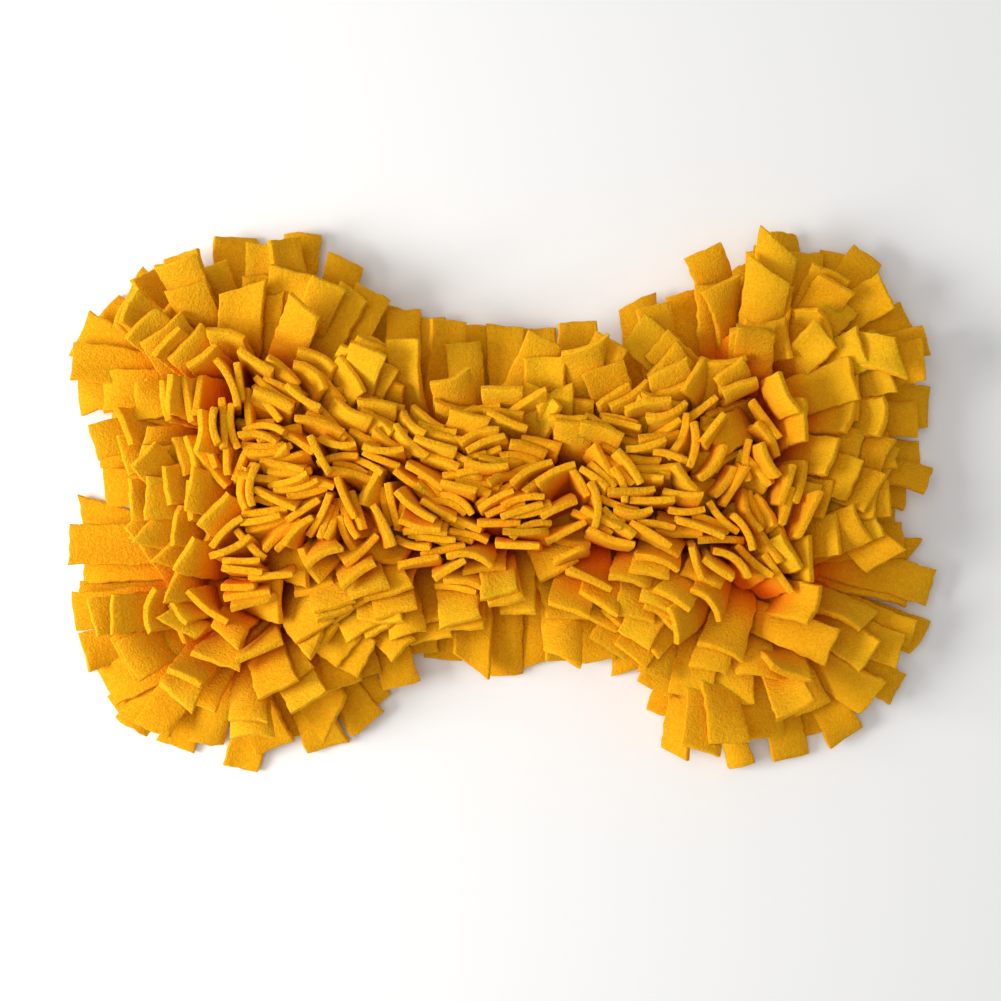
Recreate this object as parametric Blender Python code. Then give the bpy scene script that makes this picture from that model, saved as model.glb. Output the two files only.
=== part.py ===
"""A bone-shaped snuffle mat: a flat felt backing with fleece strips knotted through it.

Every strip is a flat lock of fleece, gathered at its knot and cut square at its tip. The outer rounds arch out
over the backing's edge, the next ones lean less and less, and those of the middle stand up in patches of
parallel strips. The gathered lower ends are one lumpy slab, and the locks stand apart above it.
"""

import math

import bmesh
import bpy
import numpy as np
from mathutils import Vector, geometry, noise

# ---- driving dimensions, in metres and degrees ----

# The bone's outline: a straight bar with two round lobes at each end, joined by hollow fillets.
LOBE_X = 0.129  # the lobes' centres from the mat's middle, along its length
LOBE_Y = 0.050  # and across it
LOBE_RADIUS = 0.036
WAIST_HALF = 0.0345  # half the bar's width
WAIST_FILLET = 0.062  # hollow between the bar and a lobe
END_FILLET = 0.050  # hollow between the two lobes of an end
ARC_STEP = math.radians(13)
BAR_STEPS = 6  # along half the bar

BACKING_THICKNESS = 0.003
SEAT_GAP = 0.0003  # between the backing and the pile that is knotted down onto it

# The fleece strips.
STRIP_THICKNESS = 0.0036
STRIP_LENGTH = 0.0555
STRIP_WIDTH = 0.0200
KNOT_WIDTH = 0.008  # a strip is gathered to this where it comes out of its knot
GATHERED_SHARE = 0.7  # the share of its length over which it opens to its full width
OPENING_POWER = 1.6  # over 1, a strip stays narrow among its neighbours and opens higher up
FREE_SHARE = 0.26  # the share of its length that the slab hides
ROOT_HEIGHT = BACKING_THICKNESS + 0.0022
FLOOR_GAP = 0.0008  # between a drooping tip and the floor
CLEAR = 0.0048  # least distance between the middle planes of two locks
SAMPLES_ALONG = 13  # points on a strip that are kept clear
SAMPLES_ACROSS = 6
MOST_LOCKS = 262

# How far a strip leans from upright at its root and at its tip, by how far its knot lies inside the
# backing's edge.
LEAN = (
    {"depth": 0.0035, "root": 62, "tip": 117},
    {"depth": 0.0080, "root": 50, "tip": 102},
    {"depth": 0.0120, "root": 38, "tip": 86},
    {"depth": 0.0160, "root": 27, "tip": 68},
    {"depth": 0.0210, "root": 16, "tip": 46},
    {"depth": 0.0270, "root": 7, "tip": 26},
    {"depth": 0.0330, "root": 2, "tip": 10},
)

# The strips that make the mat's silhouette, clockwise from its left end. Each is given by its tip: where that
# lies, which way it points from +X, the strip's width, and its level, 0 for those that droop to the floor.
RIM = (
    {"x": -0.193, "y": 0.007, "heading": 178, "width": 0.018, "level": 1},
    {"x": -0.198, "y": 0.025, "heading": 174, "width": 0.017, "level": 0},
    {"x": -0.194, "y": 0.038, "heading": 165, "width": 0.018, "level": 0},
    {"x": -0.210, "y": 0.053, "heading": 183, "width": 0.018, "level": 0},
    {"x": -0.209, "y": 0.068, "heading": 172, "width": 0.019, "level": 1},
    {"x": -0.208, "y": 0.083, "heading": 155, "width": 0.022, "level": 0},
    {"x": -0.196, "y": 0.096, "heading": 142, "width": 0.020, "level": 0},
    {"x": -0.184, "y": 0.107, "heading": 130, "width": 0.020, "level": 0},
    {"x": -0.172, "y": 0.111, "heading": 106, "width": 0.018, "level": 1},
    {"x": -0.158, "y": 0.121, "heading": 110, "width": 0.019, "level": 1},
    {"x": -0.132, "y": 0.131, "heading": 93, "width": 0.024, "level": 0},
    {"x": -0.106, "y": 0.126, "heading": 92, "width": 0.018, "level": 1},
    {"x": -0.099, "y": 0.132, "heading": 85, "width": 0.019, "level": 0},
    {"x": -0.075, "y": 0.122, "heading": 72, "width": 0.018, "level": 0},
    {"x": -0.063, "y": 0.101, "heading": 62, "width": 0.018, "level": 1},
    {"x": -0.056, "y": 0.098, "heading": 70, "width": 0.017, "level": 0},
    {"x": -0.048, "y": 0.094, "heading": 88, "width": 0.017, "level": 0},
    {"x": -0.037, "y": 0.091, "heading": 90, "width": 0.017, "level": 0},
    {"x": -0.025, "y": 0.087, "heading": 82, "width": 0.018, "level": 1},
    {"x": -0.014, "y": 0.086, "heading": 90, "width": 0.020, "level": 0},
    {"x": 0.002, "y": 0.086, "heading": 92, "width": 0.018, "level": 1},
    {"x": 0.019, "y": 0.085, "heading": 90, "width": 0.018, "level": 0},
    {"x": 0.038, "y": 0.087, "heading": 88, "width": 0.019, "level": 0},
    {"x": 0.069, "y": 0.098, "heading": 92, "width": 0.018, "level": 0},
    {"x": 0.076, "y": 0.094, "heading": 95, "width": 0.018, "level": 1},
    {"x": 0.092, "y": 0.102, "heading": 100, "width": 0.018, "level": 1},
    {"x": 0.106, "y": 0.104, "heading": 96, "width": 0.018, "level": 1},
    {"x": 0.120, "y": 0.116, "heading": 115, "width": 0.017, "level": 0},
    {"x": 0.130, "y": 0.125, "heading": 100, "width": 0.015, "level": 1},
    {"x": 0.142, "y": 0.134, "heading": 88, "width": 0.019, "level": 0},
    {"x": 0.151, "y": 0.121, "heading": 86, "width": 0.018, "level": 1},
    {"x": 0.166, "y": 0.124, "heading": 78, "width": 0.016, "level": 0},
    {"x": 0.181, "y": 0.121, "heading": 55, "width": 0.018, "level": 0},
    {"x": 0.187, "y": 0.102, "heading": 30, "width": 0.018, "level": 1},
    {"x": 0.202, "y": 0.090, "heading": 28, "width": 0.018, "level": 0},
    {"x": 0.209, "y": 0.079, "heading": 8, "width": 0.014, "level": 1},
    {"x": 0.208, "y": 0.067, "heading": 355, "width": 0.021, "level": 0},
    {"x": 0.213, "y": 0.047, "heading": 355, "width": 0.022, "level": 0},
    {"x": 0.204, "y": 0.041, "heading": 0, "width": 0.017, "level": 1},
    {"x": 0.209, "y": 0.022, "heading": 0, "width": 0.018, "level": 0},
    {"x": 0.210, "y": 0.012, "heading": 350, "width": 0.016, "level": 0},
    {"x": 0.202, "y": 0.004, "heading": 356, "width": 0.017, "level": 0},
    {"x": 0.197, "y": -0.007, "heading": 0, "width": 0.017, "level": 0},
    {"x": 0.199, "y": -0.019, "heading": 5, "width": 0.017, "level": 0},
    {"x": 0.204, "y": -0.026, "heading": 350, "width": 0.016, "level": 0},
    {"x": 0.213, "y": -0.042, "heading": 348, "width": 0.018, "level": 0},
    {"x": 0.202, "y": -0.042, "heading": 352, "width": 0.018, "level": 1},
    {"x": 0.209, "y": -0.067, "heading": 342, "width": 0.019, "level": 0},
    {"x": 0.200, "y": -0.066, "heading": 334, "width": 0.016, "level": 1},
    {"x": 0.195, "y": -0.073, "heading": 338, "width": 0.018, "level": 1},
    {"x": 0.197, "y": -0.093, "heading": 330, "width": 0.018, "level": 0},
    {"x": 0.182, "y": -0.097, "heading": 326, "width": 0.020, "level": 1},
    {"x": 0.173, "y": -0.118, "heading": 302, "width": 0.018, "level": 0},
    {"x": 0.158, "y": -0.115, "heading": 292, "width": 0.017, "level": 0},
    {"x": 0.154, "y": -0.102, "heading": 298, "width": 0.018, "level": 1},
    {"x": 0.146, "y": -0.127, "heading": 285, "width": 0.018, "level": 0},
    {"x": 0.130, "y": -0.115, "heading": 276, "width": 0.021, "level": 1},
    {"x": 0.117, "y": -0.131, "heading": 286, "width": 0.016, "level": 0},
    {"x": 0.110, "y": -0.115, "heading": 279, "width": 0.018, "level": 1},
    {"x": 0.097, "y": -0.117, "heading": 264, "width": 0.019, "level": 1},
    {"x": 0.086, "y": -0.124, "heading": 256, "width": 0.016, "level": 0},
    {"x": 0.082, "y": -0.107, "heading": 254, "width": 0.017, "level": 0},
    {"x": 0.078, "y": -0.092, "heading": 250, "width": 0.017, "level": 1},
    {"x": 0.065, "y": -0.083, "heading": 264, "width": 0.019, "level": 0},
    {"x": 0.048, "y": -0.078, "heading": 274, "width": 0.019, "level": 0},
    {"x": 0.033, "y": -0.079, "heading": 270, "width": 0.021, "level": 0},
    {"x": 0.015, "y": -0.080, "heading": 270, "width": 0.018, "level": 0},
    {"x": 0.004, "y": -0.085, "heading": 270, "width": 0.018, "level": 0},
    {"x": -0.014, "y": -0.080, "heading": 271, "width": 0.020, "level": 1},
    {"x": -0.029, "y": -0.078, "heading": 270, "width": 0.018, "level": 0},
    {"x": -0.041, "y": -0.075, "heading": 272, "width": 0.018, "level": 0},
    {"x": -0.051, "y": -0.090, "heading": 284, "width": 0.020, "level": 0},
    {"x": -0.066, "y": -0.085, "heading": 288, "width": 0.017, "level": 1},
    {"x": -0.064, "y": -0.102, "heading": 300, "width": 0.018, "level": 0},
    {"x": -0.069, "y": -0.112, "heading": 300, "width": 0.019, "level": 0},
    {"x": -0.082, "y": -0.106, "heading": 308, "width": 0.023, "level": 1},
    {"x": -0.086, "y": -0.123, "heading": 298, "width": 0.020, "level": 0},
    {"x": -0.100, "y": -0.117, "heading": 285, "width": 0.018, "level": 0},
    {"x": -0.113, "y": -0.122, "heading": 294, "width": 0.020, "level": 0},
    {"x": -0.131, "y": -0.133, "heading": 253, "width": 0.018, "level": 0},
    {"x": -0.145, "y": -0.121, "heading": 258, "width": 0.017, "level": 0},
    {"x": -0.163, "y": -0.122, "heading": 250, "width": 0.017, "level": 0},
    {"x": -0.171, "y": -0.112, "heading": 242, "width": 0.018, "level": 1},
    {"x": -0.183, "y": -0.110, "heading": 232, "width": 0.018, "level": 0},
    {"x": -0.190, "y": -0.104, "heading": 221, "width": 0.019, "level": 0},
    {"x": -0.196, "y": -0.091, "heading": 206, "width": 0.020, "level": 1},
    {"x": -0.204, "y": -0.075, "heading": 192, "width": 0.019, "level": 1},
    {"x": -0.209, "y": -0.055, "heading": 188, "width": 0.018, "level": 1},
    {"x": -0.210, "y": -0.046, "heading": 180, "width": 0.017, "level": 0},
    {"x": -0.208, "y": -0.035, "heading": 185, "width": 0.016, "level": 0},
    {"x": -0.213, "y": -0.021, "heading": 180, "width": 0.020, "level": 1},
    {"x": -0.208, "y": -0.008, "heading": 162, "width": 0.020, "level": 0},
)
LEVELS = (
    {"root": 62, "tip": 114},
    {"root": 50, "tip": 98},
)
RIM_DEPTH = 0.0035  # the least that a knot lies inside the backing's edge
RIM_TRIES = 160
RIM_MISS = 0.005  # the furthest that a rim strip's tip may land from its place
RIM_LENGTHS = (0.85, 1.14)  # a rim strip's length, as a share of the others', that takes it to its place
LAST_TRY_TURNS = {"heading": 13, "lean": 13}

# The rounds of strips that fill the gaps behind those, from the edge inwards: depth of the knots, how far each
# round is turned on as a share of the spacing, and the strips' width.
ROUNDS = (
    {"depth": 0.0035, "turned": 0.00, "width": 0.0200},
    {"depth": 0.0080, "turned": 0.50, "width": 0.0210},
    {"depth": 0.0120, "turned": 0.22, "width": 0.0215},
    {"depth": 0.0160, "turned": 0.72, "width": 0.0210},
)
SPACING_OFFSET = 0.022  # the rounds are spaced out evenly this far out of the backing's edge
ROUND_SPACING = 0.0265

# How unevenly the strips of a round are set, and what the last try at placing one adds to that.
ROUND_TRIES = 40
ROUND_SCATTER = {"root": 0.0, "way": 0.04, "turn": 7, "lean": 4}
LAST_TRY_ADDS = {"root": 0.0015, "way": 0.15, "lean": 10}
LAST_TRY_NARROWER = 0.35
FILL_MARGIN = 0.001  # how far short of the nearest rim strip's tip the tips of the rounds stay
ROOT_SHARE_OF_SHIFT = 0.4  # of what a strip leans more or less at its tip, its root takes this share
ROUND_LENGTHS = (0.93, 1.06)
ROUND_WIDTHS = (0.92, 1.06)

# The middle's patches of parallel strips: each patch's place, and the turn of its strips' width from +X.
PATCHES = (
    {"x": -0.140, "y": 0.030, "turn": 100},
    {"x": -0.142, "y": -0.010, "turn": 75},
    {"x": -0.105, "y": -0.016, "turn": 150},
    {"x": -0.089, "y": -0.013, "turn": 52},
    {"x": -0.082, "y": 0.060, "turn": 118},
    {"x": -0.062, "y": 0.058, "turn": 10},
    {"x": -0.072, "y": 0.000, "turn": 125},
    {"x": -0.057, "y": 0.014, "turn": 30},
    {"x": -0.040, "y": 0.047, "turn": 142},
    {"x": -0.045, "y": -0.022, "turn": 150},
    {"x": -0.022, "y": 0.009, "turn": 149},
    {"x": -0.029, "y": -0.024, "turn": 30},
    {"x": -0.010, "y": 0.023, "turn": 2},
    {"x": 0.006, "y": 0.028, "turn": 123},
    {"x": 0.003, "y": -0.004, "turn": 125},
    {"x": 0.008, "y": -0.026, "turn": 172},
    {"x": 0.030, "y": -0.011, "turn": 0},
    {"x": 0.046, "y": 0.010, "turn": 125},
    {"x": 0.047, "y": -0.029, "turn": 145},
    {"x": 0.073, "y": 0.023, "turn": 176},
    {"x": 0.066, "y": 0.000, "turn": 145},
    {"x": 0.078, "y": -0.028, "turn": 5},
    {"x": 0.100, "y": 0.008, "turn": 100},
    {"x": 0.106, "y": -0.008, "turn": 170},
    {"x": 0.125, "y": 0.019, "turn": 65},
    {"x": 0.148, "y": -0.015, "turn": 88},
)
PATCH_SIZE = 0.013
MIDDLE_DEPTH = 0.0160  # strips knotted further in than this stand in the patches
DARTS = 9000  # tries at placing a strip in the middle
MIDDLE_SCATTER = {"way": 0.12, "turn": 9, "lean": 6}
MIDDLE_LENGTHS = (0.92, 1.05)
MIDDLE_WIDTHS = (0.75, 1.05)
OUTWARD_WEIGHT = 0.9  # how much a strip near the edge faces out, against the turn of its patch

# The slab of gathered lower ends, as rounds up its side: how far out of the backing's edge, and how high.
SLAB_SIDE = (
    {"out": 0.001, "height": BACKING_THICKNESS + SEAT_GAP},
    {"out": 0.0055, "height": 0.0065},
    {"out": 0.0045, "height": 0.0105},
    {"out": -0.002, "height": 0.0135},
)
SLAB_RISE = 0.009  # from the slab's shoulder to its middle
SLAB_RISE_DEPTH = 0.024
SLAB_LUMP = 0.0022
SLAB_LUMP_SIZE = 0.016
SLAB_GRID = 0.020  # between the points of its top
SLAB_MARGIN = 0.007  # and between those and its shoulder

ROUND_ROWS = 4  # cross-sections along a lock of the outer rounds
MIDDLE_ROWS = 3  # and along one of the middle
SEED = 11

FELT_COLOUR = (0.03, 0.03, 0.035, 1)
FLEECE_COLOUR = (0.89, 0.46, 0.01, 1)


# ---- the bone's outline ----


def arc(centre, radius, start, end, hollow):
    """Points on an arc, and the directions there that point out of the bone."""
    steps = max(2, round(abs(end - start) / ARC_STEP))
    angles = np.linspace(start, end, steps + 1)
    ray = np.stack([np.cos(angles), np.sin(angles)], axis=1)
    return np.array(centre) + radius * ray, -ray if hollow else ray


def quarter_outline(offset):
    """A quarter of the outline, offset outwards, from the +X axis round to the +Y axis."""
    lobe = np.array((LOBE_X, LOBE_Y))
    end_span = END_FILLET + LOBE_RADIUS
    notch = np.array((LOBE_X + math.sqrt(end_span**2 - LOBE_Y**2), 0.0))
    waist_span = WAIST_FILLET + LOBE_RADIUS
    rise = WAIST_HALF + WAIST_FILLET - LOBE_Y
    armpit = np.array((LOBE_X - math.sqrt(waist_span**2 - rise**2), WAIST_HALF + WAIST_FILLET))

    def angle(start, end):
        return math.atan2(*(end - start)[::-1])

    pieces = (
        arc(notch, END_FILLET - offset, math.pi, angle(notch, lobe), True),
        arc(lobe, LOBE_RADIUS + offset, angle(lobe, notch), angle(lobe, armpit), False),
        arc(armpit, WAIST_FILLET - offset, angle(armpit, lobe), -math.pi / 2, True),
    )
    bar_x = np.linspace(armpit[0], 0, BAR_STEPS + 1)[1:]
    bar = np.stack([bar_x, np.full(BAR_STEPS, WAIST_HALF + offset)], axis=1)
    bar_out = np.tile((0.0, 1.0), (BAR_STEPS, 1))
    points = [pieces[0][0]] + [piece[0][1:] for piece in pieces[1:]] + [bar]
    normals = [pieces[0][1]] + [piece[1][1:] for piece in pieces[1:]] + [bar_out]
    return np.concatenate(points), np.concatenate(normals)


def outline(offset=0.0):
    """The whole closed outline, anticlockwise: its points and their outward directions."""
    points, normals = quarter_outline(offset)
    mirror_x, mirror_y = np.array((-1, 1)), np.array((1, -1))
    loops = []
    for quarter in (points, normals):
        loops.append(
            np.concatenate(
                [
                    quarter[:-1],
                    (quarter * mirror_x)[::-1][:-1],
                    (-quarter)[:-1],
                    (quarter * mirror_y)[::-1][:-1],
                ]
            )
        )
    return loops


def evenly(points, normals, count, turned=0.5):
    """So many places evenly along a closed outline, turned on by a share of their spacing."""
    closed = np.concatenate([points, points[:1]])
    ends = np.concatenate([normals, normals[:1]])
    along = np.concatenate([[0.0], np.cumsum(np.linalg.norm(np.diff(closed, axis=0), axis=1))])
    at = (np.arange(count) + turned) * along[-1] / count
    place = np.stack([np.interp(at, along, closed[:, k]) for k in (0, 1)], axis=1)
    way = np.stack([np.interp(at, along, ends[:, k]) for k in (0, 1)], axis=1)
    return place, way / np.linalg.norm(way, axis=1, keepdims=True)


EDGE, EDGE_OUT = evenly(*outline(), 330)


def depth_and_way_out(point):
    """How far a point lies inside the backing's edge, and the direction out, which fades to none midway."""
    away = EDGE - point
    distance = np.maximum(np.linalg.norm(away, axis=1), 1e-5)
    weight = distance**-4.0
    nearest = distance.argmin()
    side = 1 if np.dot(away[nearest], EDGE_OUT[nearest]) > 0 else -1
    way = (weight[:, None] * away / distance[:, None]).sum(axis=0) / weight.sum()
    return side * distance[nearest], side * way


# ---- the locks of fleece ----


def lean_at(depth):
    """The lean from upright of a strip's root and tip, in radians."""
    depths = [row["depth"] for row in LEAN]
    return [math.radians(np.interp(depth, depths, [row[end] for row in LEAN])) for end in ("root", "tip")]


def patch_turn(place, own_turn, own_weight):
    """The turn of a strip's width at a place in the middle, blended with a turn of its own."""
    weights = [own_weight]
    turns = [own_turn]
    for patch in PATCHES:
        away = math.hypot(place[0] - patch["x"], place[1] - patch["y"])
        weights.append(math.exp(-((away / PATCH_SIZE) ** 2)))
        turns.append(math.radians(patch["turn"]))
    doubled = [(w * math.cos(2 * t), w * math.sin(2 * t)) for w, t in zip(weights, turns)]
    return 0.5 * math.atan2(sum(s for _, s in doubled), sum(c for c, _ in doubled))


def strip_line(strip, shares):
    """The middle line of a strip, its width's direction, its face's direction and its width at shares of it."""
    root_lean, tip_lean = strip["root_lean"], strip["tip_lean"]
    bend = tip_lean - root_lean
    bend = bend if abs(bend) > 1e-4 else 1e-4
    lean = root_lean + bend * shares
    out = strip["length"] * (math.cos(root_lean) - np.cos(lean)) / bend
    up = strip["length"] * (np.sin(lean) - math.sin(root_lean)) / bend
    way = np.array((*strip["way"], 0.0))
    upright = np.array((0.0, 0.0, 1.0))
    middle = np.array((*strip["root"], ROOT_HEIGHT)) + out[:, None] * way + up[:, None] * upright
    along = np.sin(lean)[:, None] * way + np.cos(lean)[:, None] * upright
    across = np.array((math.cos(strip["turn"]), math.sin(strip["turn"]), 0.0))
    across = across - (along @ across)[:, None] * along
    across /= np.linalg.norm(across, axis=1, keepdims=True)
    opened = np.minimum(shares / GATHERED_SHARE, 1.0) ** OPENING_POWER
    width = KNOT_WIDTH + (strip["width"] - KNOT_WIDTH) * opened
    return middle, across, np.cross(along, across), width


def reach_of(root_lean, tip_lean):
    """How far a strip's tip lies from its root, seen from above, as a share of its length."""
    bend = tip_lean - root_lean
    return (math.cos(root_lean) - math.cos(tip_lean)) / bend if abs(bend) > 1e-4 else math.sin(root_lean)


def tip_of(strip):
    """The place of a strip's tip, seen from above."""
    return strip["root"] + strip["way"] * strip["length"] * reach_of(strip["root_lean"], strip["tip_lean"])


def samples_of(strip):
    """Points spread over a strip's middle plane, above the slab."""
    middle, across, _, width = strip_line(strip, np.linspace(FREE_SHARE, 1.0, SAMPLES_ALONG))
    places = np.linspace(-0.5, 0.5, SAMPLES_ACROSS)
    spread = middle[:, None] + across[:, None] * (width[:, None] * places)[..., None]
    return spread.reshape(-1, 3)


class Bed:
    """The strips placed so far. A strip is added only where it stays clear of all of them."""

    def __init__(self):
        self.strips = []
        self.samples = np.zeros((0, 3))

    def add(self, strip):
        points = samples_of(strip)
        if points[:, 2].min() < STRIP_THICKNESS / 2 + FLOOR_GAP:
            return False
        low, high = points.min(axis=0) - CLEAR, points.max(axis=0) + CLEAR
        near = self.samples[((self.samples > low) & (self.samples < high)).all(axis=1)]
        if len(near):
            apart = ((points[:, None] - near[None]) ** 2).sum(axis=2)
            if apart.min() < CLEAR**2:
                return False
        self.strips.append(strip)
        self.samples = np.concatenate([self.samples, points])
        return True


def place_rim(bed, random):
    """The silhouette's strips, each set back from its tip to a knot inside the backing's edge."""
    for row in sorted(RIM, key=lambda row: row["level"]):
        tip = np.array((row["x"], row["y"]))
        level = LEVELS[row["level"]]
        for attempt in range(RIM_TRIES):
            loose = attempt / RIM_TRIES
            heading = math.radians(row["heading"] + random.normal(0, LAST_TRY_TURNS["heading"]) * loose)
            shift = random.normal(0, LAST_TRY_TURNS["lean"]) * loose
            root_lean, tip_lean = math.radians(level["root"] + shift), math.radians(level["tip"] + shift)
            reach = reach_of(root_lean, tip_lean)
            root = tip - STRIP_LENGTH * reach * np.array((math.cos(heading), math.sin(heading)))
            depth, out = depth_and_way_out(root)
            if depth < RIM_DEPTH:
                root -= out / np.linalg.norm(out) * (RIM_DEPTH - depth)
            away = tip - root
            distance = np.linalg.norm(away)
            share = min(max(distance / reach / STRIP_LENGTH, RIM_LENGTHS[0]), RIM_LENGTHS[1])
            strip = {
                "root": root,
                "way": away / distance,
                "turn": math.atan2(away[0], -away[1]),
                "root_lean": root_lean,
                "tip_lean": tip_lean,
                "length": STRIP_LENGTH * share,
                "width": row["width"] * (1 - LAST_TRY_NARROWER * loose),
                "rows": ROUND_ROWS,
            }
            if np.linalg.norm(tip_of(strip) - tip) < RIM_MISS and bed.add(strip):
                break


def place_rounds(bed, random):
    """The outer rounds, each strip facing out and overlapping its neighbours."""
    rim_tips = np.array([(row["x"], row["y"]) for row in RIM])
    rim_outs = [-depth_and_way_out(tip)[0] for tip in rim_tips]
    line, ways = outline(SPACING_OFFSET)
    around = np.linalg.norm(np.diff(line, axis=0), axis=1).sum()
    for round_ in ROUNDS:
        for place, way in zip(*evenly(line, ways, round(around / ROUND_SPACING), round_["turned"])):
            for attempt in range(ROUND_TRIES):
                loose = attempt / ROUND_TRIES
                spread = {key: ROUND_SCATTER[key] + LAST_TRY_ADDS[key] * loose for key in LAST_TRY_ADDS}
                aim = way + random.normal(0, spread["way"], 2)
                aim /= np.linalg.norm(aim)
                root = place - way * (SPACING_OFFSET + round_["depth"]) + random.normal(0, spread["root"], 2)
                root_lean, tip_lean = lean_at(round_["depth"])
                shift = math.radians(random.normal(0, spread["lean"]))
                askew = math.radians(random.normal(0, ROUND_SCATTER["turn"]))
                narrowed = 1 - LAST_TRY_NARROWER * loose
                strip = {
                    "root": root,
                    "way": aim,
                    "turn": math.atan2(aim[0], -aim[1]) + askew,
                    "root_lean": root_lean + shift * ROOT_SHARE_OF_SHIFT,
                    "tip_lean": tip_lean + shift,
                    "length": STRIP_LENGTH * random.uniform(*ROUND_LENGTHS),
                    "width": round_["width"] * random.uniform(*ROUND_WIDTHS) * narrowed,
                    "rows": ROUND_ROWS,
                }
                tip = tip_of(strip)
                nearest = np.linalg.norm(rim_tips - tip, axis=1).argmin()
                if -depth_and_way_out(tip)[0] > rim_outs[nearest] - FILL_MARGIN:
                    continue
                if bed.add(strip):
                    break


def place_middle(bed, random):
    """The strips of the middle, thrown like darts and kept where there is room."""
    reach_x = LOBE_X + LOBE_RADIUS
    reach_y = LOBE_Y + LOBE_RADIUS
    for _ in range(DARTS):
        root = np.array((random.uniform(-reach_x, reach_x), random.uniform(-reach_y, reach_y)))
        depth, out = depth_and_way_out(root)
        if depth < MIDDLE_DEPTH or len(bed.strips) >= MOST_LOCKS:
            continue
        way = out + random.normal(0, MIDDLE_SCATTER["way"], 2)
        way /= np.linalg.norm(way)
        root_lean, tip_lean = lean_at(depth)
        own_turn = math.atan2(out[0], -out[1])
        tip = root + out * STRIP_LENGTH * math.sin((root_lean + tip_lean) / 2)
        turn = patch_turn(tip, own_turn, OUTWARD_WEIGHT * np.linalg.norm(out) ** 2)
        strip = {
            "root": root,
            "way": way,
            "turn": turn + math.radians(random.normal(0, MIDDLE_SCATTER["turn"])),
            "root_lean": root_lean,
            "tip_lean": tip_lean + math.radians(random.normal(0, MIDDLE_SCATTER["lean"])),
            "length": STRIP_LENGTH * random.uniform(*MIDDLE_LENGTHS),
            "width": STRIP_WIDTH * random.uniform(*MIDDLE_WIDTHS),
            "rows": MIDDLE_ROWS,
        }
        bed.add(strip)


def add_lock(mesh, strip):
    """One strip as a closed four-sided lock."""
    count = strip["rows"]
    middle, across, face, width = strip_line(strip, np.linspace(0.0, 1.0, count))
    rows = []
    for k in range(count):
        half_width = across[k] * width[k] / 2
        half_thick = face[k] * STRIP_THICKNESS / 2
        corners = (
            middle[k] - half_width - half_thick,
            middle[k] + half_width - half_thick,
            middle[k] + half_width + half_thick,
            middle[k] - half_width + half_thick,
        )
        rows.append([mesh.verts.new(Vector(corner)) for corner in corners])
    mesh.faces.new(rows[0])
    mesh.faces.new(rows[-1][::-1])
    for low, high in zip(rows, rows[1:]):
        for k in range(4):
            mesh.faces.new((low[k], high[k], high[(k + 1) % 4], low[(k + 1) % 4]))


# ---- objects ----


def fabric(name, colour, roughness):
    material = bpy.data.materials.new(name)
    material.use_nodes = True
    shader = material.node_tree.nodes["Principled BSDF"]
    shader.inputs["Base Color"].default_value = colour
    shader.inputs["Roughness"].default_value = roughness
    shader.inputs["Metallic"].default_value = 0.0
    return material


def add_object(name, mesh, material):
    bmesh.ops.recalc_face_normals(mesh, faces=mesh.faces)
    data = bpy.data.meshes.new(name)
    mesh.to_mesh(data)
    mesh.free()
    data.materials.append(material)
    obj = bpy.data.objects.new(name, data)
    bpy.context.scene.collection.objects.link(obj)
    return obj


def make_backing():
    """The flat sheet of felt, cut to the bone's outline."""
    points, _ = outline()
    mesh = bmesh.new()
    face = mesh.faces.new([mesh.verts.new((x, y, 0.0)) for x, y in points])
    made = bmesh.ops.extrude_face_region(mesh, geom=[face])
    upper = [item for item in made["geom"] if isinstance(item, bmesh.types.BMVert)]
    bmesh.ops.translate(mesh, verts=upper, vec=(0, 0, BACKING_THICKNESS))
    return add_object("felt_backing", mesh, fabric("felt", FELT_COLOUR, 0.95))


def slab_height(x, y):
    """The slab's top: it rises from the shoulder to the middle, with lumps."""
    depth, _ = depth_and_way_out(np.array((x, y)))
    share = min(max(depth / SLAB_RISE_DEPTH, 0.0), 1.0)
    lump = SLAB_LUMP * noise.noise(Vector((x, y, 0.0)) / SLAB_LUMP_SIZE)
    return SLAB_SIDE[-1]["height"] + SLAB_RISE * math.sin(share * math.pi / 2) + lump * share


def make_slab():
    """The lumpy slab of gathered lower ends that the locks rise from."""
    points, normals = outline()
    mesh = bmesh.new()
    rounds = []
    for side in SLAB_SIDE:
        ring = points + normals * side["out"]
        rounds.append([mesh.verts.new((x, y, side["height"])) for x, y in ring])
    mesh.faces.new(rounds[0][::-1])
    for low, high in zip(rounds, rounds[1:]):
        for k in range(len(low)):
            n = (k + 1) % len(low)
            mesh.faces.new((low[k], low[n], high[n], high[k]))

    shoulder = [Vector(vert.co[:2]) for vert in rounds[-1]]
    inner = []
    most_rows = math.ceil((LOBE_Y + LOBE_RADIUS) / SLAB_GRID)
    most_columns = math.ceil((LOBE_X + LOBE_RADIUS) / SLAB_GRID)
    for row in range(-most_rows, most_rows + 1):
        for column in range(-most_columns, most_columns + 1):
            x = (column + 0.5 * (row % 2)) * SLAB_GRID
            y = row * SLAB_GRID * math.sin(math.pi / 3)
            if depth_and_way_out(np.array((x, y)))[0] > SLAB_MARGIN:
                inner.append(Vector((x, y)))
    loop = list(range(len(shoulder)))
    flat, _, faces, _, _, _ = geometry.delaunay_2d_cdt(shoulder + inner, [], [loop], 1, 1e-6)
    tops = list(rounds[-1])
    tops += [mesh.verts.new((p.x, p.y, slab_height(p.x, p.y))) for p in flat[len(shoulder):]]
    for face in faces:
        mesh.faces.new([tops[k] for k in face])
    return add_object("fleece_pile", mesh, fabric("fleece", FLEECE_COLOUR, 0.9))


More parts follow.
